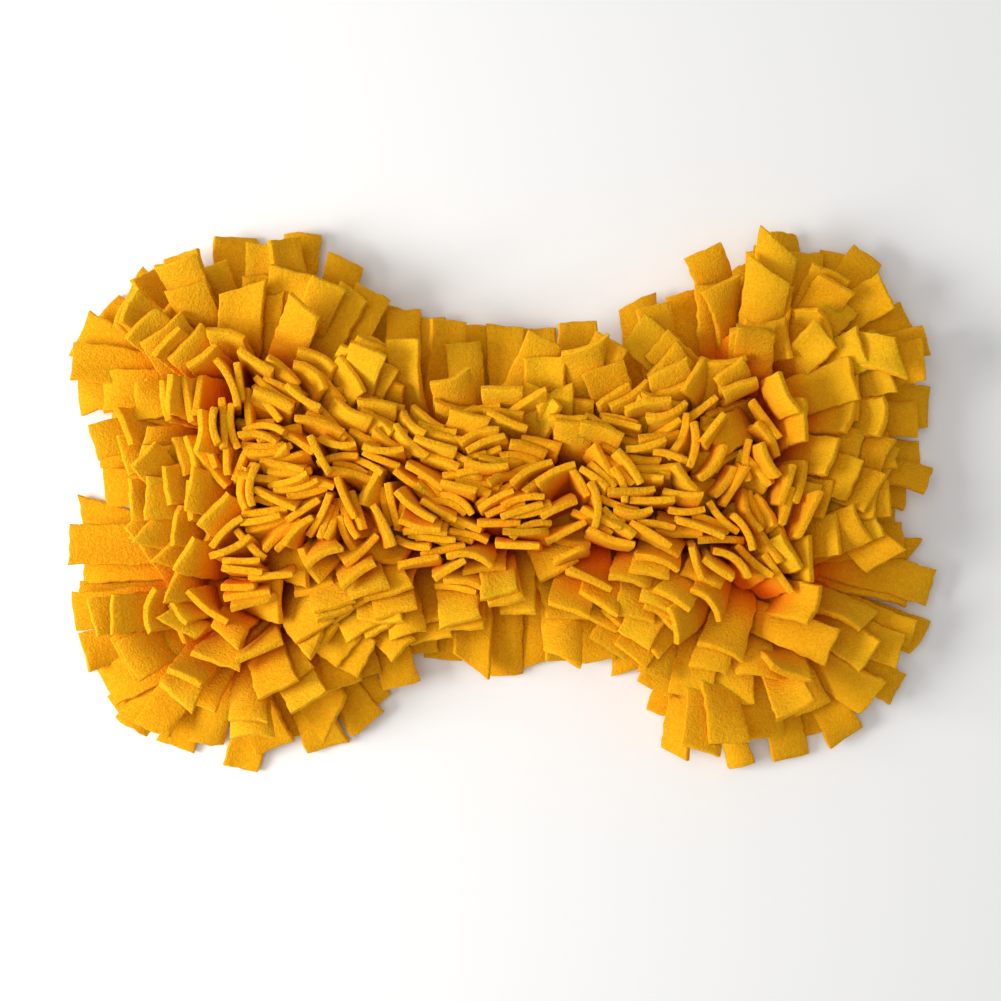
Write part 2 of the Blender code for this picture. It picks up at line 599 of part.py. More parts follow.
def make_pile():
    """The slab joined with every lock."""
    random = np.random.default_rng(SEED)
    bed = Bed()
    place_rim(bed, random)
    place_rounds(bed, random)
    place_middle(bed, random)
    mesh = bmesh.new()
    for strip in bed.strips:
        add_lock(mesh, strip)
    slab = make_slab()
    locks = add_object("locks", mesh, slab.data.materials[0])
    locks.hide_render = True
    locks.display_type = "WIRE"
    join = slab.modifiers.new("locks", "BOOLEAN")
    join.operation = "UNION"
    join.solver = "EXACT"
    join.use_self = True
    join.object = locks
    return slab


def main():
    for obj in list(bpy.data.objects):
        bpy.data.objects.remove(obj)
    make_backing()
    make_pile()


main()
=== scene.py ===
"""The looks of a bone-shaped snuffle mat: fleece strips knotted through a felt backing."""

import math

import bmesh
import bpy
import numpy as np
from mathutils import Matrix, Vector


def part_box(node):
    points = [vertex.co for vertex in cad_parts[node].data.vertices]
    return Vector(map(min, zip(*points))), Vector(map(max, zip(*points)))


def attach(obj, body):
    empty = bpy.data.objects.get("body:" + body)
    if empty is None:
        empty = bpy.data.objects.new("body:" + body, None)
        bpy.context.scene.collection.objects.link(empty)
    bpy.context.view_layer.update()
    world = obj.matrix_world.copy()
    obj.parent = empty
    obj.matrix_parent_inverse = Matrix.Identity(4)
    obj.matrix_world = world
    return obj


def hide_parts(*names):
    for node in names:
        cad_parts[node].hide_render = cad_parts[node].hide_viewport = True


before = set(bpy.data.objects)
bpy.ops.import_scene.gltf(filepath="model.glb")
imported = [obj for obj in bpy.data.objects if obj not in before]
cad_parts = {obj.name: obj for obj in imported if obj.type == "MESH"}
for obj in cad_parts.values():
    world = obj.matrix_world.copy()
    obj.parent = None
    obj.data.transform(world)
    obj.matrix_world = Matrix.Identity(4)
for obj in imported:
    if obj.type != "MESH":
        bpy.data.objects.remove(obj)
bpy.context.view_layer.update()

# ---- Felt backing ----
# The mat's base is one flat sheet of charcoal needle felt, cut to a bone's outline: pressed fibres that lie
# every way, a few lighter ones among them. It is the CAD node itself, and only its finish is made here.


class Wire:
    """An output socket in a tree of nodes. Plain arithmetic on it adds Math nodes."""

    def __init__(self, tree, socket=None):
        self.tree = tree
        self.socket = socket

    def node(self, kind, settings=(), values=(), output=0):
        """Adds a node with its settings, then its inputs, each a value or another wire."""
        made = self.tree.nodes.new(kind)
        for name, value in dict(settings).items():
            setattr(made, name, value)
        for key, value in dict(values).items():
            if isinstance(value, Wire):
                self.tree.links.new(value.socket, made.inputs[key])
            else:
                made.inputs[key].default_value = value
        return Wire(self.tree, made.outputs[output])

    def maths(self, operation, *others):
        return self.node("ShaderNodeMath", {"operation": operation}, enumerate((self, *others)))

    def __add__(self, other):
        return self.maths("ADD", other)

    def __mul__(self, other):
        return self.maths("MULTIPLY", other)

    def __sub__(self, other):
        return self.maths("SUBTRACT", other)

    def __rsub__(self, other):
        return self.node("ShaderNodeMath", {"operation": "SUBTRACT"}, {0: other, 1: self})

    __radd__ = __add__
    __rmul__ = __mul__

    def between(self, low, high):
        """0 at low and 1 at high, and held there beyond them."""
        values = {"Value": self, "From Min": low, "From Max": high}
        return self.node("ShaderNodeMapRange", {"clamp": True}, values)

    def tint(self, dark, light):
        """A colour that goes from dark to light with this wire. Each is a colour or another wire."""
        values = {0: self, 6: dark, 7: light}
        return self.node("ShaderNodeMix", {"data_type": "RGBA"}, values, output=2)


MATTE = {"Roughness": 0.95, "Specular IOR Level": 0.08, "Sheen Roughness": 0.6}


def set_sockets(node, constants):
    """Sets a node's inputs by their names."""
    for socket, constant in constants.items():
        node.inputs[socket].default_value = constant


def cloth_material(name, constants):
    """A matte cloth with its constants on its shader's own sockets. Returns it and a wire into its tree."""
    material = bpy.data.materials.new(name)
    material.use_nodes = True
    set_sockets(material.node_tree.nodes["Principled BSDF"], {**MATTE, **constants})
    return material, Wire(material.node_tree)


def cover(material, colour, bump):
    """Feeds a cloth's colour and bump to its shader."""
    shader = material.node_tree.nodes["Principled BSDF"]
    material.node_tree.links.new(colour.socket, shader.inputs["Base Color"])
    material.node_tree.links.new(bump.socket, shader.inputs["Normal"])


def specks(place, per_metre, detail=2.0, warp=0.0):
    """Noise of a size given as its repeats in a metre."""
    values = {"Vector": place, "Scale": per_metre, "Detail": detail, "Distortion": warp}
    return place.node("ShaderNodeTexNoise", {}, values)


FELT_SHADES = {"dark": (0.012, 0.012, 0.014, 1), "light": (0.055, 0.055, 0.06, 1)}

felt, felt_wire = cloth_material("charcoal_felt", {"Sheen Weight": 0.25, "Sheen Tint": (0.5, 0.5, 0.52, 1)})
felt_place = felt_wire.node("ShaderNodeTexCoord", output="Object")
matted = specks(felt_place, per_metre=900, detail=4, warp=1.5)
patchy = specks(felt_place, per_metre=60)
felt_light = (matted * 0.7 + patchy * 0.3).between(0.35, 0.7)
felt_bump = felt_wire.node("ShaderNodeBump", {}, {"Height": matted, "Strength": 0.6, "Distance": 0.0004})
cover(felt, felt_light.tint(**FELT_SHADES), felt_bump)

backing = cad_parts["felt_backing"]
backing.data.materials.clear()
backing.data.materials.append(felt)

# ---- Fleece strips ----
# Golden yellow polar fleece, cut in strips and knotted through the backing, two ends to each knot. The pile
# is laid out knot by knot and settled, so that the strips lean on each other, and those that still pass worst
# through others are then pulled out.

BACKING_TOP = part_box("felt_backing")[1].z


def outline_of(node):
    """The outline of a flat node's underside, anticlockwise: its points and the directions out of it."""
    mesh = bmesh.new()
    mesh.from_mesh(node.data)
    bmesh.ops.remove_doubles(mesh, verts=mesh.verts, dist=1e-5)
    floor = [face for face in mesh.faces if face.normal.z < -0.9]
    after = {}
    for face in floor:
        for loop in face.loops:
            if any(other not in floor for other in loop.edge.link_faces):
                after[loop.link_loop_next.vert] = loop.vert
    vert = next(iter(after))
    points = []
    for _ in after:
        points.append(vert.co.xy[:])
        vert = after[vert]
    mesh.free()
    points = np.array(points)
    along = np.roll(points, -1, axis=0) - np.roll(points, 1, axis=0)
    out = np.stack([along[:, 1], -along[:, 0]], axis=1)
    return points, out / np.linalg.norm(out, axis=1, keepdims=True)


def evenly(points, out, count):
    """So many places evenly along a closed outline."""
    closed = np.concatenate([points, points[:1]])
    ends = np.concatenate([out, out[:1]])
    along = np.concatenate([[0.0], np.cumsum(np.linalg.norm(np.diff(closed, axis=0), axis=1))])
    at = (np.arange(count) + 0.5) * along[-1] / count
    place = np.stack([np.interp(at, along, closed[:, k]) for k in (0, 1)], axis=1)
    way = np.stack([np.interp(at, along, ends[:, k]) for k in (0, 1)], axis=1)
    return place, way / np.linalg.norm(way, axis=1, keepdims=True)


EDGE_PLACES = 400
edge, edge_out = evenly(*outline_of(backing), EDGE_PLACES)
NEARNESS = 4.0


def depth_and_way_out(points):
    """How far each point lies inside the backing's edge, and the way out, which fades to none midway."""
    away = edge[None] - points[:, None]
    distance = np.maximum(np.linalg.norm(away, axis=2), 1e-5)
    nearest = distance.argmin(axis=1)
    rows = np.arange(len(points))
    side = np.where((away[rows, nearest] * edge_out[nearest]).sum(axis=1) > 0, 1, -1)
    weight = distance**-NEARNESS
    way = (weight[..., None] * away / distance[..., None]).sum(axis=1) / weight.sum(axis=1)[:, None]
    return side * distance[rows, nearest], side[:, None] * way


STRIP_LENGTH = 0.057
STRIP_WIDTH = 0.02
STRIP_THICKNESS = {"pile": 0.0035, "rim": 0.003}
KNOT_WIDTH = 0.009
GATHERED_SHARE = 0.45
ROOT_HEIGHT = BACKING_TOP + 0.0035


def table(columns, *rows):
    """The rows of a table, each with its values by the names of their columns."""
    return [dict(zip(columns.split(), row, strict=True)) for row in rows]


MM_PER_M = 1000

# The strips that show around the mat, clockwise from its left end. Each is given by its tip: where that lies,
# which way it points from +X, the strip's width, its level, and how far it is rolled about its own length.
# Lengths in mm, angles in degrees.
RIM = table(
    "x y heading width level roll",
    (-193, 7, 178, 18, 1, 0),
    (-198, 25, 174, 17, 0, 0),
    (-194, 38, 165, 18, 0, 0),
    (-173, 46, 168, 20, 2, 0),
    (-210, 53, 183, 18, 0, 0),
    (-194, 57, 178, 20, 2, 0),
    (-209, 68, 172, 19, 1, 0),
    (-208, 83, 155, 22, 0, 0),
    (-196, 96, 142, 20, 0, 0),
    (-162, 82, 114, 25, 3, 0),
    (-184, 107, 130, 20, 0, 0),
    (-172, 111, 106, 18, 1, 30),
    (-156, 99, 120, 18, 2, 20),
    (-158, 121, 110, 19, 1, 0),
    (-141, 112, 105, 18, 2, 0),
    (-132, 131, 93, 24, 0, 0),
    (-113, 99, 85, 18, 2, 0),
    (-93, 91, 60, 18, 3, 0),
    (-106, 126, 92, 18, 1, 20),
    (-99, 132, 85, 19, 0, 0),
    (-102, 111, 85, 23, 2, 0),
    (-83, 104, 58, 17, 2, 30),
    (-75, 122, 72, 18, 0, 0),
    (-74, 101, 60, 17, 2, 35),
    (-63, 101, 62, 18, 1, 0),
    (-56, 98, 70, 17, 0, 0),
    (-62, 82, 80, 18, 3, 0),
    (-48, 94, 88, 17, 0, 20),
    (-48, 76, 98, 17, 2, 0),
    (-37, 91, 90, 17, 0, 0),
    (-25, 87, 82, 18, 1, 45),
    (-14, 86, 90, 20, 0, 0),
    (-17, 75, 90, 18, 2, 0),
    (2, 86, 92, 18, 1, 0),
    (19, 85, 90, 18, 0, 0),
    (23, 77, 60, 18, 2, 20),
    (38, 87, 88, 19, 0, 0),
    (40, 73, 76, 20, 2, 0),
    (56, 83, 60, 18, 2, 0),
    (69, 98, 92, 18, 0, 0),
    (76, 94, 95, 18, 1, 0),
    (92, 102, 100, 18, 1, 0),
    (106, 104, 96, 18, 1, 0),
    (120, 116, 115, 17, 0, 0),
    (130, 108, 75, 18, 2, 0),
    (130, 125, 100, 15, 1, 35),
    (142, 134, 88, 19, 0, 40),
    (151, 121, 86, 18, 1, 0),
    (138, 79, 4, 19, 3, 0),
    (151, 81, 335, 21, 3, 0),
    (166, 124, 78, 16, 0, 50),
    (181, 121, 55, 18, 0, 0),
    (167, 99, 52, 18, 2, 0),
    (157, 82, 48, 17, 3, 0),
    (187, 102, 30, 18, 1, 0),
    (202, 90, 28, 18, 0, 0),
    (209, 79, 8, 14, 1, 45),
    (176, 73, 32, 21, 2, 0),
    (208, 67, 355, 21, 0, 0),
    (193, 68, 342, 18, 2, 0),
    (170, 49, 20, 19, 3, 0),
    (189, 49, 12, 17, 2, 0),
    (213, 47, 355, 22, 0, 0),
    (204, 41, 0, 17, 1, 0),
    (189, 26, 14, 17, 2, 0),
    (174, 28, 342, 17, 3, 0),
    (209, 22, 0, 18, 0, 0),
    (210, 12, 350, 16, 0, 20),
    (202, 4, 356, 17, 0, 0),
    (197, -7, 0, 17, 0, 0),
    (199, -19, 5, 17, 0, 0),
    (204, -26, 350, 16, 0, 0),
    (183, -27, 318, 18, 2, 0),
    (213, -42, 348, 18, 0, 0),
    (202, -42, 352, 18, 1, 0),
    (209, -67, 342, 19, 0, 0),
    (200, -66, 334, 16, 1, 45),
    (195, -73, 338, 18, 1, 0),
    (178, -59, 336, 16, 2, 40),
    (179, -73, 324, 19, 2, 0),
    (197, -93, 330, 18, 0, 0),
    (182, -97, 326, 20, 1, 0),
    (157, -68, 340, 18, 3, 0),
    (173, -118, 302, 18, 0, 0),
    (158, -115, 292, 17, 0, 0),
    (154, -102, 298, 18, 1, 0),
    (127, -80, 284, 20, 3, 0),
    (146, -127, 285, 18, 0, 0),
    (130, -115, 276, 21, 1, 0),
    (117, -131, 286, 16, 0, 50),
    (114, -97, 275, 20, 2, 0),
    (110, -115, 279, 18, 1, 0),
    (97, -117, 264, 19, 1, 0),
    (95, -96, 258, 20, 2, 0),
    (86, -124, 256, 16, 0, 50),
    (82, -107, 254, 17, 0, 0),
    (78, -92, 250, 17, 1, 0),
    (75, -82, 265, 16, 2, 30),
    (65, -83, 264, 19, 0, 0),
    (48, -78, 274, 19, 0, 0),
    (33, -79, 270, 21, 0, 0),
    (29, -72, 266, 22, 2, 0),
    (15, -80, 270, 18, 0, 0),
    (4, -85, 270, 18, 0, 0),
    (-14, -80, 271, 20, 1, 0),
    (-29, -78, 270, 18, 0, 0),
    (-41, -75, 272, 18, 0, 0),
    (-51, -90, 284, 20, 0, 0),
    (-49, -70, 318, 15, 2, 30),
    (-50, -60, 275, 19, 3, 0),
    (-35, -56, 285, 18, 3, 0),
    (-34, -65, 278, 19, 2, 0),
    (-66, -85, 288, 17, 1, 0),
    (-77, -87, 285, 18, 2, 0),
    (-64, -102, 300, 18, 0, 0),
    (-69, -112, 300, 19, 0, 0),
    (-82, -106, 308, 23, 1, 0),
    (-86, -123, 298, 20, 0, 0),
    (-100, -117, 285, 18, 0, 0),
    (-113, -122, 294, 20, 0, 0),
    (-131, -133, 253, 18, 0, 0),
    (-145, -121, 258, 17, 0, 0),
    (-135, -76, 236, 17, 3, 0),
    (-148, -96, 246, 19, 2, 0),
    (-163, -122, 250, 17, 0, 0),
    (-171, -112, 242, 18, 1, 0),
    (-183, -110, 232, 18, 0, 0),
    (-190, -104, 221, 19, 0, 0),
    (-196, -91, 206, 20, 1, 0),
    (-156, -59, 210, 22, 3, 0),
    (-204, -75, 192, 19, 1, 0),
    (-209, -55, 188, 18, 1, 0),
    (-210, -46, 180, 17, 0, 0),
    (-208, -35, 185, 16, 0, 0),
    (-213, -21, 180, 20, 1, 0),
    (-208, -8, 162, 20, 0, 0),
    (-170, -8, 118, 18, 3, 0),
    (-168, 20, 127, 18, 3, 0),
)

# How far a strip of each level leans from upright at its root and at its tip, how far inside the backing's
# edge it is tied, and how light its colour may be painted: the lower levels, which droop over the edge, are
# painted darker as painted shade. Level 0 droops to the floor.
LEVELS = table(
    "root tip depth paleness",
    (62, 108, 0.0035, 0.3),
    (48, 94, 0.006, 0.5),
    (34, 74, 0.009, 0.7),
    (24, 56, 0.014, 0.9),
)
EDGE_MARGIN = 0.0035
RIM_LENGTHS = (0.84, 1.14)
TRIED_LENGTHS = 13
RIM_WIDENING = 1.03

# How strips differ from their rows: angles in degrees, and a cup, the bend across the width, in 1/m.
RIM_CUP = -6
RIM_SCATTER = {"root": 4, "tip": 7, "curl": 30, "cup": 20, "twist": 13}

# A strip's middle plane is a grid of so many points across it and along it.
ACROSS = 5
ALONG = 12


def lean_along(root, tip, curl):
    """How far a strip leans from upright, midway between its rows of points."""
    shares = (np.arange(ALONG - 1) + 0.5) / (ALONG - 1)
    root, tip, curl = root[:, None], tip[:, None], curl[:, None]
    return root + (tip - root) * shares + curl * (shares - shares**2)


def lay_rim(random):
    """The strips that show around the mat, set back from their tips to knots inside the backing's edge."""
    rows = {key: np.array([row[key] for row in RIM], float) for key in RIM[0]}
    count = len(RIM)
    level = rows["level"].astype(int)
    root, tip, wanted = (np.array([LEVELS[k][column] for k in level]) for column in ("root", "tip", "depth"))
    root = np.radians(root + random.normal(0, RIM_SCATTER["root"], count))
    tip = np.radians(tip + random.normal(0, RIM_SCATTER["tip"], count))
    curl = np.radians(random.normal(0, RIM_SCATTER["curl"], count))
    reach = np.sin(lean_along(root, tip, curl)).mean(axis=1)
    tips = np.stack([rows["x"], rows["y"]], axis=1) / MM_PER_M
    heading = np.radians(rows["heading"])
    way = np.stack([np.cos(heading), np.sin(heading)], axis=1)
    lengths = STRIP_LENGTH * np.linspace(*RIM_LENGTHS, TRIED_LENGTHS)
    tried = np.array([tips - (length * reach)[:, None] * way for length in lengths])
    missed = np.array([np.abs(depth_and_way_out(places)[0] - wanted) for places in tried])
    roots = tried[missed.argmin(axis=0), np.arange(count)]
    depth, out = depth_and_way_out(roots)
    out /= np.linalg.norm(out, axis=1, keepdims=True)
    roots -= np.maximum(EDGE_MARGIN - depth, 0)[:, None] * out
    away = tips - roots
    heading = np.arctan2(away[:, 1], away[:, 0])
    return {
        "root": roots,
        "heading": heading,
        "turn": heading + math.pi / 2,
        "root_lean": root,
        "tip_lean": tip,
        "curl": curl,
        "length": np.clip(np.linalg.norm(away, axis=1) / reach, *(STRIP_LENGTH * np.array(RIM_LENGTHS))),
        "width": rows["width"] / MM_PER_M * RIM_WIDENING,
        "thickness": np.full(count, STRIP_THICKNESS["rim"]),
        "cup": random.normal(RIM_CUP, RIM_SCATTER["cup"], count),
        "twist": np.radians(
            rows["roll"] * random.choice((-1, 1), count) + random.normal(0, RIM_SCATTER["twist"], count)
        ),
        **cut_shapes(count, random),
    }


SLANTED_SHARE = 0.12
SLANTS = (0.3, 0.6)
UNEVENNESS = {"slant": 0.08, "taper": 0.1}


def cut_shapes(count, random):
    """How uneven each strip's cut is: its end's slant, and how much wider it grows towards its end."""
    slanted = random.uniform(0, 1, count) < SLANTED_SHARE
    slant = np.where(slanted, random.choice((-1, 1), count) * random.uniform(*SLANTS, count), 0)
    return {
        "skew": slant + random.normal(0, UNEVENNESS["slant"], count),
        "taper": random.normal(0, UNEVENNESS["taper"], count),
    }


# How far a pair's strips lean from upright at root and tip, by how far their knot lies inside the edge.
LEAN = table(
    "depth root tip",
    (0.009, 42, 84),
    (0.013, 30, 64),
    (0.018, 18, 44),
    (0.024, 8, 23),
    (0.034, 3, 8),
)

# The middle's patches of parallel strips: a patch's place in mm, and the turn of its strips' width from +X.
PATCHES = table(
    "x y turn",
    (-129, 43, 100),
    (-124, 59, 120),
    (-115, 78, 150),
    (-127, 21, 97),
    (-112, 14, 5),
    (-139, 26, 68),
    (-131, 3, 54),
    (-142, -9, 79),
    (-132, -21, 35),
    (-94, 71, 175),
    (-80, 67, 110),
    (-71, 74, 90),
    (-58, 55, 12),
    (-34, 72, 142),
    (-37, 60, 142),
    (-39, 44, 138),
    (-85, -7, 42),
    (-84, -17, 56),
    (-72, -13, 113),
    (-65, -9, 118),
    (-54, 3, 60),
    (-41, 6, 117),
    (-47, -18, 141),
    (-50, -27, 158),
    (-22, 3, 146),
    (-42, 25, 142),
    (-24, 32, 116),
    (-9, 22, 0),
    (-4, 13, 18),
    (10, 24, 127),
    (16, 14, 63),
    (30, 23, 170),
    (26, 9, 49),
    (41, 6, 131),
    (48, 14, 114),
    (43, 41, 138),
    (55, 28, 12),
    (69, 20, 173),
    (66, 9, 150),
    (90, 10, 157),
    (87, 22, 105),
    (101, 8, 73),
    (116, 15, 70),
    (119, 2, 113),
    (126, 3, 108),
    (86, 2, 178),
    (64, -2, 4),
    (96, -4, 166),
    (26, -6, 3),
    (7, -13, 4),
    (24, -17, 27),
    (43, -16, 179),
    (9, -24, 166),
    (5, -33, 156),
    (25, -28, 65),
    (35, -38, 133),
    (53, -38, 33),
    (43, -26, 155),
    (62, -22, 150),
    (69, -35, 21),
    (93, -22, 135),
    (114, -22, 140),
    (103, -38, 135),
    (-26, -14, 20),
    (-27, -24, 41),
    (-13, -24, 150),
    (-11, -38, 178),
    (-13, -47, 5),
    (137, -1, 85),
    (144, -4, 75),
    (150, -12, 60),
    (146, 14, 65),
    (155, 13, 70),
    (171, 10, 54),
    (140, -24, 110),
    (155, -23, 80),
    (89, 46, 172),
    (79, 55, 160),
    (75, 34, 122),
    (92, 51, 170),
    (56, 43, 20),
    (-15, 55, 8),
    (-64, 41, 5),
    (-74, 22, 172),
    (-55, 29, 150),
    (-76, 48, 128),
    (-86, 51, 140),
    (-55, 15, 14),
    (-64, 7, 145),
    (47, -46, 145),
    (28, -42, 25),
    (75, -46, 130),
    (94, 72, 20),
)
PATCH_SIZE = 0.008
OUTWARD_WEIGHT = 1.2

# The lean, in radians, that combing gives to all of the middle, and the share of it by which tips move.
COMBED = (-0.02, 0.125)
COMBED_REACH = 0.7

# Where, in mm, the leaning strips reach further in than elsewhere, as in the four lobes, and where less far.
SPREAD = table(
    "x y share",
    (-135, -55, 1.7),
    (-98, -48, 1.8),
    (-142, 66, 1.9),
    (135, -50, 1.8),
    (95, -35, 1.6),
    (120, 58, 1.6),
    (-155, 10, 0.9),
    (165, -5, 0.75),
    (-35, -28, 0.62),
    (10, -30, 0.62),
    (-55, 5, 0.6),
    (0, 3, 0.6),
    (55, 3, 0.6),
    (-100, 15, 0.8),
)
SPREAD_SIZE = 0.028
WEIGHT_ELSEWHERE = 0.2


def spread_at(points):
    """How many times as far in as elsewhere the leaning strips reach."""
    places = np.array([(row["x"], row["y"]) for row in SPREAD]) / MM_PER_M
    shares = np.array([row["share"] for row in SPREAD])
    away = np.linalg.norm(points[:, None] - places[None], axis=2)
    weight = np.exp(-((away / SPREAD_SIZE) ** 2))
    return (weight @ shares + WEIGHT_ELSEWHERE) / (weight.sum(axis=1) + WEIGHT_ELSEWHERE)


def bearing(points):
    """How far inside the edge each point lies, how far a pair tied there leans, in degrees, and which way,
    and the turn of its strips' width. The pile's middle is combed a little towards one side."""
    depth, out = depth_and_way_out(points)
    depths = [row["depth"] for row in LEAN]
    within = depth / spread_at(points)
    lean = {end: np.interp(within, depths, [row[end] for row in LEAN]) for end in ("root", "tip")}
    outward = np.arctan2(out[:, 1], out[:, 0])
    own_weight = OUTWARD_WEIGHT * np.linalg.norm(out, axis=1) ** 3
    reach = out * np.sin(np.radians(lean["root"] + lean["tip"]) / 2)[:, None]
    reach = STRIP_LENGTH * (reach + COMBED_REACH * np.array(COMBED))
    turn = patch_turn(points + reach, outward + math.pi / 2, own_weight)
    return depth, lean, out * np.radians(lean["tip"])[:, None] + COMBED, turn


def patch_turn(points, own_turn, own_weight):
    """The turn of the strips' width at each point, blended with a turn of their own."""
    patches = np.array([(row["x"], row["y"]) for row in PATCHES]) / MM_PER_M
    turns = np.radians([row["turn"] for row in PATCHES])
    away = np.linalg.norm(points[:, None] - patches[None], axis=2)
    weight = np.exp(-((away / PATCH_SIZE) ** 2)) + 1e-6
    along = weight @ np.cos(2 * turns) + own_weight * np.cos(2 * own_turn)
    aside = weight @ np.sin(2 * turns) + own_weight * np.sin(2 * own_turn)
    return 0.5 * np.arctan2(aside, along)


# So many pairs stand inside the rim. Each knot has a cell of its own, wider where its strips lean.
KNOTS = 230
PAIR_MARGIN = 0.007
LEANING_ROOM = 0.85
TRIED_PLACES = 30000
ROUNDS_OF_SPREADING = 14
CELL = {"along the width": 0.02, "along the face": 0.0092}


def lay_knots(rim_roots, random):
    """The other knots, spread evenly among those of the rim: closer one behind another than side by side, and
    closer where the strips stand than where they lean."""
    low, high = edge.min(axis=0), edge.max(axis=0)
    field = random.uniform(low, high, (TRIED_PLACES, 2))
    field = field[depth_and_way_out(field)[0] > PAIR_MARGIN]
    crowded = 1 / (1 + LEANING_ROOM * np.sin(np.radians(bearing(field)[1]["tip"]))) ** 2
    field = field[random.uniform(0, 1, len(field)) < crowded]
    turn = bearing(field)[3]
    across = np.stack([np.cos(turn), np.sin(turn)], axis=1)[:, None] / CELL["along the width"]
    face = np.stack([-np.sin(turn), np.cos(turn)], axis=1)[:, None] / CELL["along the face"]
    knots = np.concatenate([rim_roots, field[:KNOTS]])
    for _ in range(ROUNDS_OF_SPREADING):
        away = field[:, None] - knots[None]
        owner = ((away * across).sum(axis=2) ** 2 + (away * face).sum(axis=2) ** 2).argmin(axis=1)
        count = np.bincount(owner, minlength=len(knots))[:, None]
        total = np.stack([np.bincount(owner, field[:, k], len(knots)) for k in (0, 1)], axis=1)
        knots[len(rim_roots):] = np.where(count > 0, total / np.maximum(count, 1), knots)[len(rim_roots):]
    return knots[len(rim_roots):]


TWIN_GAP = 0.0046
PAIR_LENGTHS = (0.84, 1.05)
PAIR_WIDTHS = (0.88, 1.14)
SIDEWAYS_SHARE = 0.7

# How a pair differs from its patch, and the strips of a pair from each other.
PAIR_SCATTER = {"turn": 7, "tilt": 15, "cup": 14, "curl": 22}
TWIN_SCATTER = {"apart": 3, "tilt": 4, "turn": 4, "curl": 12, "cup": 5, "twist": 9}
TWINS_APART = 5

# The lean, in radians, at which a strip starts to be as thin as at the rim, and at which it is.
THINNING = (0.5, 1.2)

# Some of the middle's strips have fallen over.
SPRAWLED = {"share": 0.17, "inside": 0.016, "root": 14, "tip": (45, 80)}


def lay_pairs(knots, random):
    """The two strips of each other knot. A strip leans towards one of its faces, hardly towards its edges."""
    count = len(knots)
    depth, lean, way, turn = bearing(knots)
    upright = 1 - np.minimum(np.linalg.norm(way, axis=1), 1.0)
    turn = turn + np.radians(random.normal(0, PAIR_SCATTER["turn"], count))
    across = np.stack([np.cos(turn), np.sin(turn)], axis=1)
    face = np.stack([across[:, 1], -across[:, 0]], axis=1)
    face *= np.where((face * way).sum(axis=1) > 0, 1, -1)[:, None]
    onto_face = (face * way).sum(axis=1)
    onto_side = (across * way).sum(axis=1)
    tilt = np.radians(random.normal(0, PAIR_SCATTER["tilt"], count)) * (0.4 + 0.6 * upright)
    cup = random.normal(0, PAIR_SCATTER["cup"], count)
    curl = random.normal(0, PAIR_SCATTER["curl"], count)

    halves = []
    for side in (-1, 1):
        apart = side * random.normal(TWINS_APART, TWIN_SCATTER["apart"], count)
        lift = tilt + np.radians(apart + random.normal(0, TWIN_SCATTER["tilt"], count))
        way = (onto_face + lift)[:, None] * face + (SIDEWAYS_SHARE * onto_side)[:, None] * across
        tip = np.linalg.norm(way, axis=1)
        half = {
            "root": knots + side * face * TWIN_GAP / 2,
            "heading": np.arctan2(way[:, 1], way[:, 0]),
            "turn": turn + np.radians(random.normal(0, TWIN_SCATTER["turn"], count)),
            "root_lean": tip * lean["root"] / lean["tip"],
            "tip_lean": tip,
            "curl": np.radians(curl + random.normal(0, TWIN_SCATTER["curl"], count)),
            "length": STRIP_LENGTH * random.uniform(*PAIR_LENGTHS, count),
            "width": STRIP_WIDTH * random.uniform(*PAIR_WIDTHS, count),
            "thickness": np.interp(tip, THINNING, (STRIP_THICKNESS["pile"], STRIP_THICKNESS["rim"])),
            "cup": cup + random.normal(0, TWIN_SCATTER["cup"], count),
            "twist": np.radians(random.normal(0, TWIN_SCATTER["twist"], count)),
            **cut_shapes(count, random),
        }
        sprawled = (random.uniform(0, 1, count) < SPRAWLED["share"]) & (depth > SPRAWLED["inside"])
        over = np.arctan2(face[:, 1], face[:, 0]) + (math.pi if side < 0 else 0)
        half["heading"][sprawled] = over[sprawled]
        half["root_lean"][sprawled] = math.radians(SPRAWLED["root"])
        half["tip_lean"][sprawled] = np.radians(random.uniform(*SPRAWLED["tip"], count))[sprawled]
        halves.append(half)
    return {key: np.concatenate([half[key] for half in halves]) for key in halves[0]}


def flat_shape(strips):
    """Each strip's grid of points as it was cut: how far aside, how far along, and its cup's lift."""
    shares = np.linspace(0, 1, ALONG)
    opened = np.sin(np.minimum(shares / GATHERED_SHARE, 1.0) * math.pi / 2)
    full = strips["width"][:, None] * (1 + strips["taper"][:, None] * (shares - 0.5))
    width = KNOT_WIDTH + (full - KNOT_WIDTH) * opened
    aside = width[..., None] * np.linspace(-0.5, 0.5, ACROSS)
    onward = strips["length"][:, None, None] * shares[:, None]
    onward = onward + strips["skew"][:, None, None] * aside * shares[:, None]
    slope = strips["cup"][:, None, None] * aside
    return aside * (1 - 2 / 3 * slope**2), onward, slope * aside


